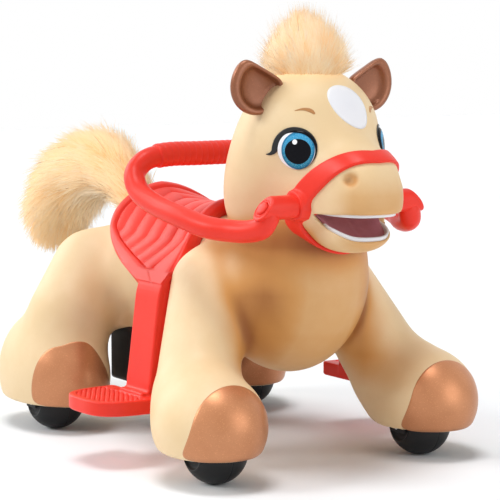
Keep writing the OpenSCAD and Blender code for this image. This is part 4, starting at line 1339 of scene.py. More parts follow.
@dataclass
class Eyes:
    """Domed printed eyes with a painted lash over each, brows and a blaze on the forehead."""

    wide: float = 33.0
    tall: float = 31.0
    rise: float = 7.0
    rings: int = 20
    spokes: int = 72
    patch: FacePatch = field(default_factory=FacePatch)

    def lens(self) -> Skin:
        """The left lens.

        Returns:
            Its closed skin, with the places on it for the print.
        """
        turn = np.linspace(0, 2 * np.pi, self.spokes, endpoint=False)
        share = np.concatenate([np.linspace(0.02, 1, 5), np.sin(np.linspace(np.pi / 2, 0.02, self.rings))[1:]])
        lift = np.concatenate([np.full(5, 0.2), 1.6 + self.rise * np.sqrt(1 - share[5:] ** 2)])
        u = -self.wide * share[:, None] * np.cos(turn)
        v = self.tall * share[:, None] * np.sin(turn)
        skin = closed_rings(self.patch.lay(u, v, lift[:, None] * np.ones(self.spokes)))
        skin.tints = {key: np.append(MM * flat.ravel(), [0.0, 0.0]) for key, flat in (("fore", -u), ("up", v))}
        return skin

    def band(self, inner: Array, outer: Array, lift: float) -> Skin:
        """A painted band between two lines in the eye's plane.

        Args:
            inner: Points of the first line, as side and up.
            outer: Points of the second line.
            lift: Height over the face.

        Returns:
            Its closed skin.
        """
        share = np.linspace(0, 1, 7)[:, None, None]
        flat = inner * (1 - share) + outer * share
        top = self.patch.lay(flat[..., 0], flat[..., 1], lift)
        return closed_sheet(top, self.patch.lay(flat[..., 0], flat[..., 1], lift - 1.2))

    def lash(self) -> Skin:
        """The left lash: a fine edge in front, thick over and behind the eye, with a flick at its rear end.

        Returns:
            Its closed skin.
        """
        turn = np.radians(np.linspace(-28, 176, 64))
        edge = np.stack([-self.wide * np.cos(turn), self.tall * np.sin(turn)], axis=-1)
        marks = [-28, 0, 30, 60, 90, 120, 150, 176]
        width = np.interp(np.degrees(turn), marks, [0.3, 0.6, 1.0, 2.2, 4.4, 7.0, 8.8, 10.0])
        outer = edge * (1 + width / np.linalg.norm(edge, axis=1))[:, None]
        low = curve_through([(31.5, -1.5), (36.2, -5.5), (40.4, -8.2), (47.5, -9.8), (53.5, -8.8)], 6)
        high = curve_through([(43.4, -1.0), (44.6, -3.4), (46.8, -5.2), (50, -6.8), (53.5, -7.8)], 6)
        return self.band(np.concatenate([0.95 * edge, low]), np.concatenate([outer, high]), 1.6)

    def brow(self) -> Skin:
        """The left brow: a thin arc over the eye, thicker towards the nose.

        Returns:
            Its closed skin.
        """
        arc = curve_through([(-24, 57), (-16, 61.5), (-5, 63.5), (8, 61)], 10)
        thick = np.interp(np.linspace(0, 1, len(arc)), [0, 0.12, 0.4, 1], [1.2, 3.2, 3.0, 0.4])
        half = thick[:, None] * np.array([0.15, 1.0])
        return self.band(arc - half, arc + half, 0.5)

    @staticmethod
    def blaze() -> Skin:
        """A tilted egg of white paint on the forehead.

        Returns:
            Its closed skin.
        """
        patch = FacePatch((-35, 0, 545), (0.90, 0.0, 0.436))
        turn = np.linspace(0, 2 * np.pi, 64, endpoint=False)
        share = np.concatenate([np.linspace(0.05, 1, 10), np.linspace(1, 0.05, 10)])[:, None]
        lift = np.concatenate([np.full(10, -0.8), np.full(10, 0.5)])[:, None] * np.ones(64)
        rise = 40 * share * np.sin(turn)
        across = 8 - 34 * share * np.cos(turn) * (1 + 0.14 * np.sin(turn))
        return closed_rings(patch.lay(across - 0.18 * rise, 2 + rise, lift))

    def build(self, shop: Workshop) -> None:
        """Makes the eyes and the paint round them.

        Args:
            shop: The workshop that makes the objects.
        """
        parts = (
            ("eye_{}_lens", self.lens(), Finish.EYE, "eye_gloss", "eye_{}"),
            ("lash_paint_{}", self.lash(), Finish.LASH, "eye_gloss", ""),
            ("brow_paint_{}", self.brow(), Finish.BROW, "copper_brown", ""),
        )
        for side in Side:
            for name, skin, finish, slot, node in parts:
                nodes = [node.format(side.word)] if node else []
                shop.make(name.format(side.word), skin.on(side), finish, slot, nodes=nodes)
        shop.make("blaze_paint", self.blaze(), Finish.WHITE, "tooth_white")


@dataclass
class Ears:
    """Metallic cups that face forward: a leaf-like outline, a broad rolled rim and a deep cup open to the head."""

    middle: Triple = (-16, 113, 626)
    face: Triple = (0.99, 0.10, -0.05)
    radius: float = 43.0
    heart: Pair = (-20.0, -6.0)
    spokes: int = 120

    def rim(self, turn: Array) -> Array:
        """Distance of the outline from the ear's middle: drawn out at the tip, straight along the upper inner edge.

        Args:
            turn: Directions from the middle.

        Returns:
            The distances.
        """
        full = 1.07 + 0.06 * bell(np.degrees(turn) - 53, 25)
        chop = 0.72 / np.maximum(0.2, np.cos(turn - math.radians(118.6)))
        return self.radius * (full**-12 + chop**-12) ** (-1 / 12)

    def cup(self) -> Skin:
        """The left ear.

        Returns:
            Its closed skin.
        """
        out = unit(np.array(self.face))
        side = unit(np.cross([0, 0, 1], out))
        up = np.cross(out, side)
        turn = np.linspace(0, 2 * np.pi, self.spokes, endpoint=False)
        profile = [
            (0.04, -17.0), (0.22, -16.6), (0.42, -15.4), (0.56, -13.6), (0.65, -11.4), (0.70, -8.8), (0.735, -5.6),
            (0.765, -2.8), (0.80, -1.1), (0.85, -0.1), (0.90, 0.0), (0.945, -0.9), (0.98, -3.0), (1.0, -6.5),
            (0.99, -10.0), (0.94, -14.5), (0.82, -18.5), (0.5, -22), (0.05, -23),
        ]
        share = np.array([a for a, _ in profile])[:, None]
        lift = np.array([b for _, b in profile])[:, None] * np.ones(self.spokes)
        u = share * self.rim(turn) * np.cos(turn) + self.heart[0] * (1 - share)
        v = share * self.rim(turn) * np.sin(turn) + self.heart[1] * (1 - share)
        flat = u[..., None] * side + v[..., None] * up + lift[..., None] * out
        return closed_rings((np.array(self.middle) + flat)[::-1])

    def build(self, shop: Workshop) -> None:
        """Makes both ears.

        Args:
            shop: The workshop that makes the objects.
        """
        skin = self.cup()
        for side in Side:
            name = f"ear_{side.word}"
            # the ears take the darker copy of the copper paint, as painted shade
            shop.make(f"{name}_cup", skin.on(side), Finish.EAR, "copper_brown", nodes=[name])


@dataclass
class Bridle:
    """The nose band, chin strap and the two round bosses that carry the reins, moulded in one."""

    hub: Pair = HUB
    width: float = 27.0
    thick: float = 5.5
    boss_r: float = 22.5
    boss_y: float = 92.0
    step: float = 1.6

    def field(self, p: Array) -> Array:
        """Field of the whole bridle.

        Args:
            p: Points, one a row.

        Returns:
            The field at each point.
        """
        q = both_sides(p)
        x, z = p[..., 0] - self.hub[0], p[..., 2] - self.hub[1]
        out = np.hypot(x, z)
        turn = np.minimum(np.degrees(np.arctan2(q[..., 1], np.maximum(out, 1e-6))), 74)
        slopes = (41 + 13 * (turn / 58) ** 1.25, -89 - 35 * (turn / 66) ** 1.5)
        layer = np.abs(ANATOMY.shell(p) - 0.4 * self.thick) - 0.6 * self.thick
        whole = np.full(p.shape[:-1], 1e3)
        flare = (1 + 0.26 * fade(turn, 0, 50), 1.0)
        for slope, wide in zip(map(np.radians, slopes), flare):
            along, off = x * np.cos(slope) + z * np.sin(slope), z * np.cos(slope) - x * np.sin(slope)
            strap = soft_max(np.abs(off) - wide * self.width / 2, layer, 2.5)
            whole = soft_min(whole, np.maximum(strap, -along - 4), 16)
        boss = soft_max(out - self.boss_r, q[..., 1] - self.boss_y, 4)
        boss = np.maximum(boss, 0.4 * (58 - q[..., 1]))
        collar = np.abs(out - 20.2) - 0.8
        boss = soft_max(boss, -np.maximum(collar, self.boss_y - 1.6 - q[..., 1]), 1)
        return soft_min(whole, boss, 9)

    def build(self, shop: Workshop) -> None:
        """Makes the bridle.

        Args:
            shop: The workshop that makes the objects.
        """
        skin = FieldMesher(self.field, (10, -100, 340), (185, 100, 545), self.step).skin()
        nodes = ["nose_band", "chin_strap", "bridle_boss_left", "bridle_boss_right"]
        shop.make("bridle", skin, Finish.RED, "red_moulding", nodes=nodes)


@dataclass
class Reins:
    """The hinged rein hoop with its ribbed grip, slanted hubs and press buttons."""

    hub: Pair = HUB
    hub_r: float = 19.0
    hub_y: float = 150.0
    boss_y: float = 92.0
    slant: float = 37.0
    tube_r: float = 18.0
    grip_r: float = 20.6
    grip_y: float = 150.0
    ribs: int = 26
    bar: Pair = (-272.0, 505.0)
    button_r: float = 11.0

    def line(self) -> Array:
        """The tube's middle line from one end to the other.

        Returns:
            Points along the line.
        """
        x, z = self.bar
        half = [
            (50, 139, 424), (43, 146, 408), (20, 156, 401), (-10, 169, 400), (-50, 190, 404), (-110, 201, 416),
            (-185, 202, 429), (-240, 201, 447), (-268, 194, 474), (x, 170, 497), (x, 128, z), (x, 64, z), (x, 0, z),
        ]
        return curve_through(half + [(a, -b, c) for a, b, c in half[-2::-1]], 9)

    def tube(self) -> Skin:
        """The tube with round ends.

        Returns:
            Its closed skin.
        """
        path = self.line()
        way = unit(np.gradient(path, axis=0))
        cap = np.radians(np.linspace(88, 8, 9))
        start = path[0] - way[0] * self.tube_r * np.sin(cap)[:, None]
        finish = (path[-1] + way[-1] * self.tube_r * np.sin(cap)[:, None])[::-1]
        middle = np.concatenate([start, path, finish])
        heading = np.concatenate([np.repeat(way[:1], 9, 0), way, np.repeat(way[-1:], 9, 0)])
        radius = self.tube_r * np.concatenate([np.cos(cap), np.ones(len(path)), np.cos(cap)[::-1]])
        return swept(middle, heading, radius, 40)

    def grip(self) -> Skin:
        """The sleeve on the rear bar and its bends, with shallow ribs.

        Returns:
            Its closed skin.
        """
        path = curve_through(self.line(), 6)
        path = path[(np.abs(path[:, 1]) < self.grip_y) & (path[:, 0] < self.bar[0] + 40)]
        far = np.concatenate([[0], np.cumsum(np.linalg.norm(np.diff(path, axis=0), axis=1))])
        place = np.linspace(0, far[-1], 12 * self.ribs + 1)
        middle = np.stack([np.interp(place, far, path[:, i]) for i in range(3)], axis=-1)
        rib = 0.9 * np.sqrt(np.abs(np.sin(np.pi * self.ribs * place / far[-1])))
        end = np.clip(np.minimum(place, far[-1] - place) / 2.5, 0, 1)
        radius = self.tube_r + 0.2 + (self.grip_r - 0.9 - self.tube_r + rib) * np.sqrt(end)
        return swept(middle, unit(np.gradient(middle, axis=0)), radius, 48)

    def outward(self, q: Array) -> tuple[Array, Array]:
        """Height over a left hub's slanted face, and distance from the axis of its button.

        Args:
            q: Points, one a row.

        Returns:
            The heights and the distances.
        """
        a = math.radians(self.slant)
        d = q - np.array([self.hub[0], self.hub_y, self.hub[1]])
        up = d[..., 1] * math.cos(a) + d[..., 2] * math.sin(a)
        side = d[..., 2] * math.cos(a) - d[..., 1] * math.sin(a)
        return up, np.hypot(d[..., 0], side)

    def barrel(self, p: Array) -> Array:
        """Field of a left hub: a barrel with a slanted face and a ring round the button's recess.

        Args:
            p: Points, one a row.

        Returns:
            The field at each point.
        """
        up, out = self.outward(p)
        turn = np.hypot(p[..., 0] - self.hub[0], p[..., 2] - self.hub[1])
        whole = soft_max(soft_max(turn - self.hub_r, up, 3.5), self.boss_y + 0.3 - p[..., 1], 1.5)
        recess = np.maximum(out - self.button_r - 0.6, -up - 9)
        groove = np.maximum(np.abs(out - 15.4) - 0.7, -up - 1.0)
        return soft_max(soft_max(whole, -recess, 1.5), -groove, 0.8)

    def button(self, p: Array) -> Array:
        """Field of a left button with a slightly domed top."""
        up, out = self.outward(p)
        return soft_max(out - self.button_r, np.maximum(up - 4.2 + 0.012 * out**2, -up - 5.2), 2.5)

    def build(self, shop: Workshop) -> None:
        """Makes the reins, their hubs and their buttons.

        Args:
            shop: The workshop that makes the objects.
        """
        shop.make("rein_tube", self.tube(), Finish.RED, "red_moulding", "reins", ["rein_hoop"])
        shop.make("rein_sleeve", self.grip(), Finish.RED, "red_moulding", "reins", ["rein_grip"])
        low, high = (28, 88, 416), (74, 176, 462)
        barrel = FieldMesher(self.barrel, low, high, 0.9).skin()
        button = FieldMesher(self.button, low, high, 0.8).skin()
        for side in Side:
            for skin, name, node, body in (
                (barrel, "rein_barrel", "rein_hub", "reins"),
                (button, "rein_press", "rein_button", f"button_{side.word}"),
            ):
                nodes = [f"{node}_{side.word}"]
                shop.make(f"{name}_{side.word}", skin.on(side), Finish.RED, "red_moulding", body, nodes)


@dataclass
class Saddle:
    """The arched saddle: a frame with a rounded rim and a fluted pad set into it."""

    top_z: float = 402.0
    flap_y: float = 192.0
    flap_z: float = 289.0
    rear: Pair = (-508.0, -250.0)
    front: Pair = (-284.0, -174.0)
    cantle: float = 24.0
    thick: float = 5.0
    rim: float = 9.5
    skirt: float = 20.0
    rim_w: Pair = (19.0, 18.0)
    close: Pair = (0.56, 0.90)
    pitch: float = 42.0
    flute: float = 5.0
    rows: int = 181

    @staticmethod
    def arch(s: Array, marks: tuple[float, float, float, float]) -> tuple[Array, Array]:
        """A cubic curve and its slope.

        Args:
            s: Places along it, from 0 to 1.
            marks: Its four control values.

        Returns:
            The values and the slopes at those places.
        """
        a, b, c, d = marks
        place = a * (1 - s) ** 3 + 3 * b * s * (1 - s) ** 2 + 3 * c * s**2 * (1 - s) + d * s**3
        slope = 3 * (b - a) * (1 - s) ** 2 + 6 * (c - b) * s * (1 - s) + 3 * (d - c) * s**2
        return place, slope

    def at(self, t: Array, w: Array, h: Array) -> Array:
        """Points of the saddle.

        Args:
            t: Place from the right flap's tip at -1 to the left one's at 1.
            w: Place from the rear edge at 0 to the front edge at 1.
            h: Height over the underside.

        Returns:
            The points.
        """
        s = np.abs(t)
        y, dy = self.arch(s, (0, 0.48 * self.flap_y, 0.67 * self.flap_y, self.flap_y))
        z, dz = self.arch(s, (self.top_z, self.top_z, 0.42 * self.top_z + 0.58 * self.flap_z, self.flap_z))
        size = np.hypot(dy, dz)
        rear, front = self.edges(t)
        behind, ahead = np.maximum(0, (0.55 - w) / 0.55), np.maximum(0, (w - 0.55) / 0.45)
        dish = self.cantle * behind**2 + 0.3 * self.cantle * ahead**2
        sign = np.where(t < 0, -1.0, 1.0)
        high = z + dy / size * h + dish * (1 - s) ** 1.2
        return np.stack([rear + (front - rear) * w, sign * (y - dz / size * h), high], axis=-1)

    def hang(self, t: Array, w: Array) -> Array:
        """How far the skirt may come down before it meets the body.

        Args:
            t: Place from the right flap's tip at -1 to the left one's at 1.
            w: Place from the rear edge at 0 to the front edge at 1.

        Returns:
            The lengths.
        """
        p = self.at(t, w, np.zeros_like(t)).reshape(-1, 3)
        near = np.minimum(ANATOMY.torso(p), ANATOMY.front.field(both_sides(p))).reshape(t.shape)
        return np.clip(near - 0.8, 0, self.skirt)

    def edges(self, t: Array) -> tuple[Array, Array]:
        """Rear and front edge of the saddle along the pony.

        Args:
            t: Place from the right flap's tip at -1 to the left one's at 1.

        Returns:
            The places of both edges.
        """
        s = np.abs(t)
        rear = self.rear[0] + (self.rear[1] - self.rear[0]) * s**3.5
        return rear, self.front[0] + (self.front[1] - self.front[0]) * (1 - (1 - s) ** 1.5)

    def rims(self, t: Array) -> tuple[Array, Array]:
        """Width of the rear and front rim, which close to a V over the flap's tip.

        Args:
            t: Place from the right flap's tip at -1 to the left one's at 1.

        Returns:
            Both widths, as shares of the saddle's width.
        """
        rear, front = self.edges(t)
        shut = fade(np.abs(t), *self.close) ** 1.6
        wide = front - rear
        return tuple((w + (share * wide - w) * shut) / wide for w, share in zip(self.rim_w, (0.56, 0.44)))

    def frame_skin(self) -> Skin:
        """The frame: rounded rim, recess for the pad, skirt and underside.

        Returns:
            Its closed skin.
        """
        profile = [
            (0.0, -1.0), (0.0, 0.3), (0.05, 0.70), (0.14, 0.92), (0.28, 1.0), (0.66, 1.0), (0.80, 0.93), (0.91, 0.70),
            (1.0, 0.0),
        ]
        t = np.sin(np.linspace(-np.pi / 2, np.pi / 2, self.rows))[:, None]
        rear_w, front_w = self.rims(t)
        share = np.array([a for a, _ in profile])
        lift = np.array([h for _, h in profile])
        inner = rear_w + (1 - rear_w - front_w) * np.linspace(0.06, 0.94, 9)
        ww = np.concatenate([share * rear_w, inner, (1 - share * front_w)[:, ::-1]], axis=1)
        rise = np.concatenate([lift, np.zeros(9), lift[::-1]])
        tt = t * np.ones_like(ww)
        fill = np.clip((np.abs(tt) - self.close[1] + 0.07) / 0.07, 0, 1)
        bank = np.maximum(np.maximum(rise, 0) * np.ones_like(tt), fill * fill * (3 - 2 * fill) * (rise >= 0))
        h = np.where(rise < 0, -self.hang(tt, ww), self.thick + self.rim * bank)
        under_w = np.clip(ww, 0.02, 0.98)
        under = np.where(np.minimum(ww, 1 - ww) < 0.03, -self.hang(tt, under_w), 0.0)
        return closed_sheet(self.at(tt, ww, h)[:, ::-1], self.at(tt, under_w, under)[:, ::-1])

    def pad_skin(self) -> Skin:
        """The pad: rolls that follow the front edge and run down both flaps, with a slot in the seat.

        Returns:
            Its closed skin.
        """
        t = np.linspace(-1, 1, 201)[:, None] * (self.close[1] - 0.012)
        rear_w, front_w = self.rims(t)
        share = np.linspace(0, 1, 241)
        ww = rear_w + (1 - rear_w - front_w) * share
        tt = t * np.ones_like(ww)
        rear, front = self.edges(tt)
        p = self.at(tt, ww, np.zeros_like(tt))
        back = (1 - front_w - ww) * (front - rear)
        roll = np.sqrt(np.abs(np.sin(np.pi * back / self.pitch)) + 0.01)
        inset = np.minimum(back, (ww - rear_w) * (front - rear))
        edge = np.clip(np.minimum(inset / 6.0, (t.max() - np.abs(tt)) * 30), 0, 1)
        edge = np.sqrt(edge * (2 - edge))
        slot = np.maximum(np.abs(p[..., 0] + 420) - 1.0, np.abs(p[..., 1] + 3) - 8.5)
        h = self.thick + 0.2 + edge * (1.2 + self.flute * roll) - 3.4 * bell(np.maximum(0, slot), 1.3)
        return closed_sheet(self.at(tt, ww, h)[:, ::-1], self.at(tt, ww, np.full_like(tt, self.thick - 0.6))[:, ::-1])

    def build(self, shop: Workshop) -> None:
        """Makes the frame and the pad."""
        shop.make("saddle_rim", self.frame_skin(), Finish.RED, "red_moulding", nodes=["saddle_frame"])
        shop.make("saddle_seat", self.pad_skin(), Finish.RED, "red_moulding", nodes=["saddle_pad"])


@dataclass
class Stirrups:
    """Straps that hang from the flap tips and carry a footrest with a raised tread."""

    back: float = -250.0
    front: float = -174.0
    top: Pair = (196.0, 290.0)
    rest_x: float = -227.0
    rest_y: float = 222.0
    rest_z: float = 115.0
    rest_t: float = 25.0
    rest_w: float = 105.0
    rest_l: float = 77.0
    power: float = 3.2
    strap_t: float = 10.0
    tuck: Pair = (-16.0, 19.8)
    elbow: Pair = (1.7, 6.6)
    bend: Pair = (14.0, 30.0)
    step: float = 1.6

    def field(self, p: Array) -> Array:
        """Field of the left stirrup.

        Args:
            p: Points, one a row.

        Returns:
            The field at each point.
        """
        middle, half = (self.back + self.front) / 2, (self.front - self.back) / 2
        flat = p * np.array([0, 1, 1])
        y, z = self.top
        top, elbow = (np.array([0, y + dy, z + dz]) for dy, dz in (self.tuck, self.elbow))
        foot = np.array([0, self.rest_y, self.rest_z - 10])
        start, end = elbow + self.bend[0] * unit(top - elbow), elbow + self.bend[1] * unit(foot - elbow)
        bend = [(1 - t) ** 2 * start + 2 * t * (1 - t) * elbow + t**2 * end for t in np.linspace(0, 1, 7)]
        stops, half_t = [top, *bend, foot], self.strap_t / 2
        line = np.minimum.reduce([rod(flat, a, b, half_t, half_t) for a, b in zip(stops, stops[1:])])
        across = np.abs(p[..., 0] - middle)
        strap = soft_max(line, across - half, 4)
        flange = rod(flat, (0, y - 14, z + 2), (0, self.rest_y - 6, self.rest_z + 20), half_t + 3, half_t)
        strap = soft_min(strap, soft_max(flange, np.abs(across - half + 4) - 4, 3), 4)
        ledge = round_box(p, (middle, self.rest_y + 9, self.rest_z + 1), (half - 1, 7, 5), 3)
        return soft_min(strap, soft_min(self.rest(p), ledge, 2), 6)

    def rest(self, p: Array) -> Array:
        """Field of the left footrest: a plate with a plain lip round a tread of diamonds.

        Args:
            p: Points, one a row.

        Returns:
            The field at each point.
        """
        x, y = p[..., 0] - self.rest_x, p[..., 1] - self.rest_y
        n = self.power
        k = ((np.abs(x) / self.rest_l) ** n + (np.maximum(y, 0) / self.rest_w) ** n) ** (1 / n)
        outline = soft_max((k - 1) * 0.9 * min(self.rest_l, self.rest_w), -y - 5, 8)
        low, high = self.rest_z - self.rest_t, self.rest_z
        plate = soft_max(soft_max(outline, p[..., 2] - high, 3), low - p[..., 2], 5)
        u, v = (x + 1.7 * y) / 15.5, (x - 1.7 * y) / 15.5
        stud = np.minimum(np.abs(np.sin(np.pi * u)), np.abs(np.sin(np.pi * v)))
        inside = np.maximum(outline + 8, 18 - y)
        cut = np.maximum(np.maximum(inside, (stud - 0.45) * 6), high - 2.2 - p[..., 2])
        return soft_max(plate, -cut, 1.2)

    def build(self, shop: Workshop) -> None:
        """Makes both stirrups.

        Args:
            shop: The workshop that makes the objects.
        """
        skin = FieldMesher(self.field, (-310, 172, 84), (-144, 334, 310), self.step).skin()
        for side in Side:
            name = f"stirrup_{side.word}"
            shop.make(f"{name}_strap", skin.on(side), Finish.RED, "red_moulding", nodes=[name])


@dataclass
class Wheels:
    """Ball wheels turned from black plastic, with a parting line and recessed hub faces."""

    radius: float = 52.0
    half: float = 45.0
    bore: float = 5.1
    front_y: float = 205.0
    rear_y: float = 206.0
    wheelbase: float = 534.0
    spokes: int = 96

    def ball(self) -> Skin:
        """A wheel about the origin, its axle along y.

        Returns:
            Its closed skin.
        """
        face = math.sqrt(self.radius**2 - self.half**2)
        hub, h = self.bore, self.half
        side = [
            (hub, 1 - h), (hub + 8, 1 - h), (hub + 10, 4 - h), (face - 3, 4 - h), (face - 2, 0.6 - h), (face - 0.6, -h),
        ]
        start = math.asin(self.half / self.radius)
        arc = [(self.radius * math.cos(a), self.radius * math.sin(a)) for a in np.linspace(-start + 0.02, -0.03, 22)]
        seam = [(self.radius - 0.1, -0.9), (self.radius - 0.7, -0.4)]
        half = side + arc + seam
        rings = half + [(r, -y) for r, y in half[::-1]]
        turn = np.linspace(0, 2 * np.pi, self.spokes, endpoint=False)
        points = np.array([[(r * math.cos(a), y, r * math.sin(a)) for a in turn] for r, y in rings])
        m, n = points.shape[:2]
        ids = np.arange(m * n).reshape(m, n)
        a, b = ids, np.roll(ids, -1, axis=0)
        faces = np.stack([a, b, np.roll(b, -1, axis=1), np.roll(a, -1, axis=1)], axis=-1).reshape(-1, 4)
        return Skin(points.reshape(-1, 3), faces)

    def build(self, shop: Workshop) -> None:
        """Makes the four wheels.

        Args:
            shop: The workshop that makes the objects.
        """
        ball = self.ball()
        for side in Side:
            for end, x, y in (("front", 0.0, self.front_y), ("rear", -self.wheelbase, self.rear_y)):
                name = f"{end}_wheel_{side.word}"
                skin = Skin(ball.points + np.array([x, side.value * y, self.radius]), ball.faces)
                shop.make(f"{name}_ball", skin, Finish.BLACK, "black_plastic", name, [name])


@dataclass
class BellyTray:
    """The dark moulded tray under the belly, with a rounded rim and speaker slots."""

    switch: Pair = (-428.0, -44.0)
    speaker: Pair = (-428.0, 34.0)
    socket: Pair = (-416.0, 128.0)

    def field(self, p: Array) -> Array:
        """Field of the tray.

        Args:
            p: Points, one a row.

        Returns:
            The field at each point.
        """
        middle, half = ANATOMY.tray
        floor = middle[2] - half[2]
        whole = round_box(p, middle, half, 7)
        cuts = round_box(p, (*self.switch, floor), (9.5, 6.5, 8), 1)
        for i in range(-2, 3):
            cuts = np.minimum(cuts, round_box(p, (self.speaker[0], self.speaker[1] + 8 * i, floor), (20, 1.5, 5), 1.4))
        bore = np.hypot(p[..., 0] - self.socket[0], p[..., 2] - self.socket[1]) - 6
        cuts = np.minimum(cuts, np.maximum(bore, p[..., 1] + 60))
        groove = np.maximum(np.abs(p[..., 2] - ANATOMY.collar_z + 8) - 0.9, -whole - 1.4)
        hollow = round_box(p, (middle[0], 0, middle[2] + 4), (half[0] - 4, half[1] - 4, half[2]), 5)
        return soft_max(np.maximum(soft_max(whole, -cuts, 1), -hollow), -groove, 1)

    def build(self, shop: Workshop) -> None:
        """Makes the tray."""
        skin = FieldMesher(self.field, (-550, -93, 74), (-385, 93, 253), 2.2).skin(1)
        shop.make("belly_pan", skin, Finish.BLACK, "black_plastic", nodes=["belly_tray"])


@dataclass(frozen=True)
class Layer:
    """One layer of pile.

    Attributes:
        count: Number of locks.
        seed: Seed of its randomness.
        outward: How far the locks stand off the form.
        length: Shortest and longest lock.
        width: Thinnest and thickest lock.
        frost: How pale the tips are.
    """

    count: int
    seed: int
    outward: float
    length: Pair
    width: Pair
    frost: float


@dataclass
class Pile:
    """Plush pile: tapering locks that lie along a soft form, drawn together into tufts."""

    seed: int
    tufts: int
    parts: int = 6

    def locks(self, root: Array, out: Array, way: Array, length: Array, width: Array, frost: Array) -> Skin:
        """Tapering ribbons of pile.

        Args:
            root: Where each lock grows, one a row.
            out: The direction away from the form there.
            way: The direction in which it starts.
            length: Its length.
            width: Its width at the root.
            frost: How pale its tip is.

        Returns:
            All locks in one skin.
        """
        rng = np.random.default_rng(self.seed)
        n, m = len(root), self.parts + 1
        s = np.linspace(0, 1, m)
        heart = root[rng.integers(0, n, self.tufts)]
        away = heart[np.argmin(((root[:, None] - heart[None]) ** 2).sum(axis=2), axis=1)] - root
        away -= np.sum(away * way, axis=1, keepdims=True) * way
        side = unit(np.cross(way, out + 0.35 * rng.normal(size=(n, 3))))
        wave = rng.uniform(0, 2 * np.pi, (n, 1)) + s * rng.uniform(2, 4, (n, 1))
        middle = root[:, None] + way[:, None] * (length[:, None] * s)[..., None]
        middle = middle + 0.5 * away[:, None] * (s**1.5)[:, None]
        middle = middle + side[:, None] * (1.5 * s * np.sin(wave))[..., None] + np.array([0, 0, -5.0]) * (s**2)[:, None]
        half = 0.5 * width[:, None] * np.sqrt(np.maximum(1 - s, 0.0004))
        points = np.stack([middle - side[:, None] * half[..., None], middle + side[:, None] * half[..., None]], axis=2)
        ids = np.arange(n * m * 2).reshape(n, m, 2)
        faces = np.stack([ids[:, :-1, 0], ids[:, :-1, 1], ids[:, 1:, 1], ids[:, 1:, 0]], axis=-1).reshape(-1, 4)
        # painted shade: the farther a lock grows from its tuft's heart, the lower its lock value and the darker its
        # colour
        spread = np.linalg.norm(away, axis=1)
        lock = np.clip(1.1 - 0.8 * spread / np.percentile(spread, 90) + 0.2 * rng.normal(size=n), 0, 1)
        tints = {"along": np.tile(np.repeat(s, 2), n), "lock": np.repeat(lock, m * 2), "frost": np.repeat(frost, m * 2)}
        stand = np.sum(way * out, axis=1, keepdims=True) ** 2
        lying = out + 0.25 * way + np.array([0, 0, 0.3])
        facing = unit((1 - stand) * lying + stand * np.cross(side, way) + 0.10 * rng.normal(size=(n, 3)))
        normals = np.repeat(facing, m * 2, axis=0)
        return Skin(points.reshape(-1, 3), faces, tints, normals)


def plain_tints(skin: Skin, along: float) -> Skin:
    """The same skin with one pile colour all over.

    Args:
        skin: The skin.
        along: Place along the pile that gives the colour.

    Returns:
        The skin with its tints.
    """
    n = len(skin.points)
    return Skin(skin.points, skin.faces, {"along": np.full(n, along), "lock": np.full(n, 0.4), "frost": np.zeros(n)})


@dataclass
class Mane:
    """The plush tuft on the crown, combed up and out."""

    middle: Triple = (-46, 0, 650)
    half: Triple = (58, 47, 52)
    count: int = 9500
    wisps: int = 2200
    seed: int = 11

    def form(self, p: Array) -> Array:
        """Field of the tuft under its pile."""
        return ellipsoid(p, self.middle, self.half)

    def pile(self, layer: Layer) -> Skin:
        """One layer of pile.

        Args:
            layer: The number of its locks, and their form.

        Returns:
            The layer's skin.
        """
        rng = np.random.default_rng(layer.seed)
        ball = unit(rng.normal(size=(3 * layer.count, 3)))
        ball = ball[ball[:, 2] > -0.30][: layer.count]
        root = np.array(self.middle) + ball * np.array(self.half) * 0.97
        rise = np.array([0, 0, 1.0]) - ball[:, 2:] * ball
        way = unit(layer.outward * ball + 0.85 * rise + np.array([-0.10, 0, 0.06]) + 0.10 * rng.normal(size=ball.shape))
        long = rng.uniform(*layer.length, len(root)) * (0.8 + 0.25 * np.clip(ball[:, 2], 0, 1))
        pale = np.clip(layer.frost * (0.35 + 0.65 * rng.uniform(0, 1, len(root))), 0, 1)
        return Pile(layer.seed, 70).locks(root, ball, way, long, rng.uniform(*layer.width, len(root)), pale)

    def build(self, shop: Workshop) -> None:
        """Makes the tuft's form and its pile.

        Args:
            shop: The workshop that makes the objects.
        """
        form = FieldMesher(self.form, (-112, -60, 590), (20, 60, 712), 4).skin()
        obj = shop.make("mane_form", plain_tints(form, 0.3), Finish.PLUSH, "plush", nodes=["mane"])
        dense = self.pile(Layer(self.count, self.seed, 0.52, (34, 58), (1.0, 2.0), 0.12))
        loose = self.pile(Layer(self.wisps, self.seed + 1, 0.85, (44, 72), (0.5, 0.9), 1.0))
        shop.make("mane_pile", dense.joined(loose), Finish.PLUSH, "plush").visible_shadow = False


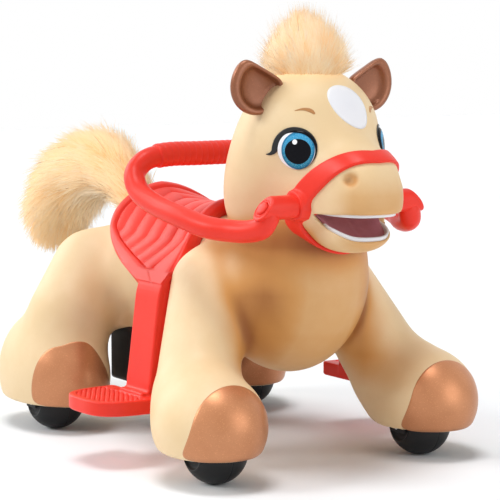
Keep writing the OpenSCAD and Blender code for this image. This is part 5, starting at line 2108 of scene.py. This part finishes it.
@dataclass
class Tail:
    """The plush tail that arches up and back from the rump."""

    root: Triple = (-565, 0, 361)
    length: float = 372.0
    rise: float = 92.0
    radius: float = 80.0
    core: float = 0.72
    end: float = -988.0
    count: int = 14500
    wisps: int = 2600
    seed: int = 23

    def line(self) -> tuple[Array, Array]:
        """The tail's middle line and the share of the greatest radius along it.

        Returns:
            Points of the line, and the shares there.
        """
        marks = [
            (0, 0, 0.35), (0.17, 0.68, 0.64), (0.38, 1.02, 0.94), (0.62, 0.85, 1), (0.83, 0.38, 0.92),
            (0.93, -0.12, 0.66), (0.955, -0.42, 0.26),
        ]
        x, _, z = self.root
        curve = curve_through([(x - a * self.length, z + b * self.rise, r) for a, b, r in marks], 8)
        return np.stack([curve[:, 0], 0 * curve[:, 0], curve[:, 1]], axis=-1), curve[:, 2]

    def pile(self, layer: Layer) -> Skin:
        """One layer of pile that flows along the tail.

        Args:
            layer: The number of its locks, and their form.

        Returns:
            The layer's skin.
        """
        path, share = self.line()
        way = unit(np.gradient(path, axis=0))
        across = np.cross(way, [0, 1, 0])
        rng = np.random.default_rng(layer.seed)
        count = layer.count
        at = rng.choice(len(path), count, p=share / share.sum())
        angle = rng.uniform(0, 2 * np.pi, count)
        out = np.cos(angle)[:, None] * np.array([0, 1, 0]) + np.sin(angle)[:, None] * across[at]
        jitter = rng.uniform(-6, 6, count)[:, None] * way[at]
        root = path[at] + jitter + 0.96 * self.core * self.radius * share[at][:, None] * out
        lean = unit(layer.outward * out + 0.92 * way[at] + 0.10 * rng.normal(size=root.shape))
        long = rng.uniform(*layer.length, count) * (0.55 + 0.45 * share[at])
        room = (root[:, 0] - self.end) / np.maximum(-lean[:, 0], 0.01)
        long = np.minimum(long, room * rng.uniform(0.5, 1, count))
        pale = layer.frost * rng.uniform(0.2, 1, count)
        return Pile(layer.seed, 75).locks(root, out, lean, long, rng.uniform(*layer.width, count), pale)

    def build(self, shop: Workshop) -> None:
        """Makes the tail's form and its pile.

        Args:
            shop: The workshop that makes the objects.
        """
        path, share = self.line()
        across = np.cross(unit(np.gradient(path, axis=0)), [0, 1, 0])
        turn = np.linspace(0, 2 * np.pi, 32, endpoint=False)
        spoke = np.cos(turn)[:, None] * np.array([0, 1, 0]) + np.sin(turn)[:, None] * across[:, None]
        rings = path[:, None] + self.core * self.radius * share[:, None, None] * spoke
        obj = shop.make("tail_form", plain_tints(closed_rings(rings), 0.3), Finish.GOLD, "plush", nodes=["tail"])
        dense = self.pile(Layer(self.count, self.seed, 0.36, (44, 74), (1.1, 2.2), 0.10))
        loose = self.pile(Layer(self.wisps, self.seed + 1, 0.72, (44, 70), (0.5, 0.9), 1.0))
        shop.make("tail_pile", dense.joined(loose), Finish.GOLD, "plush").visible_shadow = False


class CarriedNodes:
    """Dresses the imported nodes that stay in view."""

    finishes = {
        "steel": Finish.STEEL, "black_plastic": Finish.BLACK, "board_green": Finish.BOARD, "switch_red": Finish.RED,
        "tan_shell": Finish.SKIN, "red_moulding": Finish.RED, "copper_brown": Finish.COPPER,
    }

    def build(self, shop: Workshop) -> None:
        """Gives each shown node its finish.

        Args:
            shop: The workshop that makes the objects.
        """
        slots = {s["node"]: s["material_slot"] for s in shop.frame["record"]["subparts"]}
        for name, obj in shop.frame["nodes"].items():
            finish = self.finishes.get(slots[name])
            if finish is None or obj.hide_render:
                continue
            obj.data.materials.clear()
            obj.data.materials.append(finish.material)
            log.info("%s: kept as packed", name)


@dataclass
class Studio:
    """The pale floor, the white world, the lamps and the camera."""

    sky: float = 0.32
    paint: Triple = (0.925, 0.955, 0.98)
    eye: Triple = (2674.6, -1903.4, 733.9)
    aim: Triple = (-212.0, 0.0, 340.0)
    lens: float = 146.6
    suns: tuple[tuple[str, Triple, float, float], ...] = (
        ("key", (-0.25, -0.80, 0.55), 1.26, 22),
        ("top", (0.05, -0.15, 1.0), 1.34, 22),
        ("edge", (-0.83, -0.28, 0.46), 0.95, 40),
    )
    fill: tuple[Triple, float, float] = ((2600, 900, 1200), 2.0, 24)

    def floor(self) -> None:
        """A pale floor that keeps the pony's shadow."""
        mesh = bpy.data.meshes.new("floor")
        mesh.from_pydata([(-9, -9, 0), (9, -9, 0), (9, 9, 0), (-9, 9, 0)], [], [(0, 1, 2, 3)])
        floor = bpy.data.objects.new("floor", mesh)
        bpy.context.collection.objects.link(floor)
        s = Sketch("floor_paint")
        mesh.materials.append(s.finish(Base_Color=self.paint, Roughness=0.9, Specular_IOR_Level=0.0))

    def world(self) -> None:
        """Soft light from all round, white to the camera and in reflections."""
        world = bpy.data.worlds.new("studio")
        bpy.context.scene.world = world
        world.use_nodes = True
        nodes, links = world.node_tree.nodes, world.node_tree.links
        ground = nodes["Background"]
        ground.inputs["Color"].default_value = (1.0, 1.0, 1.0, 1.0)
        path = nodes.new("ShaderNodeLightPath")
        sight = path.outputs["Is Camera Ray"]
        for ray in ("Is Glossy Ray", "Is Transmission Ray"):
            either = nodes.new("ShaderNodeMath")
            either.operation = "MAXIMUM"
            links.new(sight, either.inputs[0])
            links.new(path.outputs[ray], either.inputs[1])
            sight = either.outputs[0]
        level = nodes.new("ShaderNodeMapRange")
        level.inputs["To Min"].default_value, level.inputs["To Max"].default_value = self.sky, 1.0
        links.new(sight, level.inputs["Value"])
        links.new(level.outputs["Result"], ground.inputs["Strength"])

    @staticmethod
    def sun(name: str, from_: Triple, strength: float, spread: float) -> None:
        """A soft light from far away, so that the floor is lit evenly.

        Args:
            name: The light's name.
            from_: The direction that it comes from.
            strength: Its strength.
            spread: How wide it looks, in degrees.
        """
        data = bpy.data.lights.new(name, "SUN")
        data.energy, data.angle = strength, math.radians(spread)
        lamp = bpy.data.objects.new(name, data)
        lamp.rotation_euler = (-Vector(from_)).to_track_quat("-Z", "Y").to_euler()
        bpy.context.collection.objects.link(lamp)

    def aimed(self, shop: Workshop, obj: bpy.types.Object, at: Triple) -> None:
        """Puts a lamp or camera in its place, facing the pony.

        Args:
            shop: The workshop, for its frame.
            obj: The lamp or camera.
            at: Its place.
        """
        obj.location = shop.row(at)
        obj.rotation_euler = (shop.row(self.aim) - obj.location).to_track_quat("-Z", "Y").to_euler()
        bpy.context.collection.objects.link(obj)

    def lamp(self, shop: Workshop, name: str, at: Triple, size: float, power: float) -> None:
        """A square soft lamp that faces the pony.

        Args:
            shop: The workshop, for its frame.
            name: The lamp's name.
            at: Its place.
            size: Length of its sides, in metres.
            power: Its power, in watts.
        """
        data = bpy.data.lights.new(name, "AREA")
        data.shape, data.size, data.energy = "SQUARE", size, power
        self.aimed(shop, bpy.data.objects.new(name, data), at)

    def build(self, shop: Workshop) -> None:
        """Makes the floor, the light and the camera.

        Args:
            shop: The workshop that makes the objects.
        """
        self.floor()
        self.world()
        for name, from_, strength, spread in self.suns:
            self.sun(name, from_, strength, spread)
        self.lamp(shop, "fill", *self.fill)
        data = bpy.data.cameras.new("camera")
        data.lens, data.sensor_width = self.lens, 36.0
        camera = bpy.data.objects.new("camera", data)
        self.aimed(shop, camera, self.eye)
        scene = bpy.context.scene
        scene.camera = camera
        scene.view_settings.view_transform = "Standard"


def main() -> None:
    """Builds the pony and its studio."""
    logging.basicConfig(level=logging.INFO, format="%(name)s: %(message)s")
    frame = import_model()
    shop = Workshop(frame)
    parts = (
        Studio(), BodyShell(), HoofCaps(), Head(), Mouth(), Eyes(), Ears(), Bridle(), Reins(), Saddle(), Stirrups(),
        Wheels(), BellyTray(), Mane(), Tail(), CarriedNodes(),
    )
    for part in parts:
        part.build(shop)


if __name__ == "__main__":
    main()
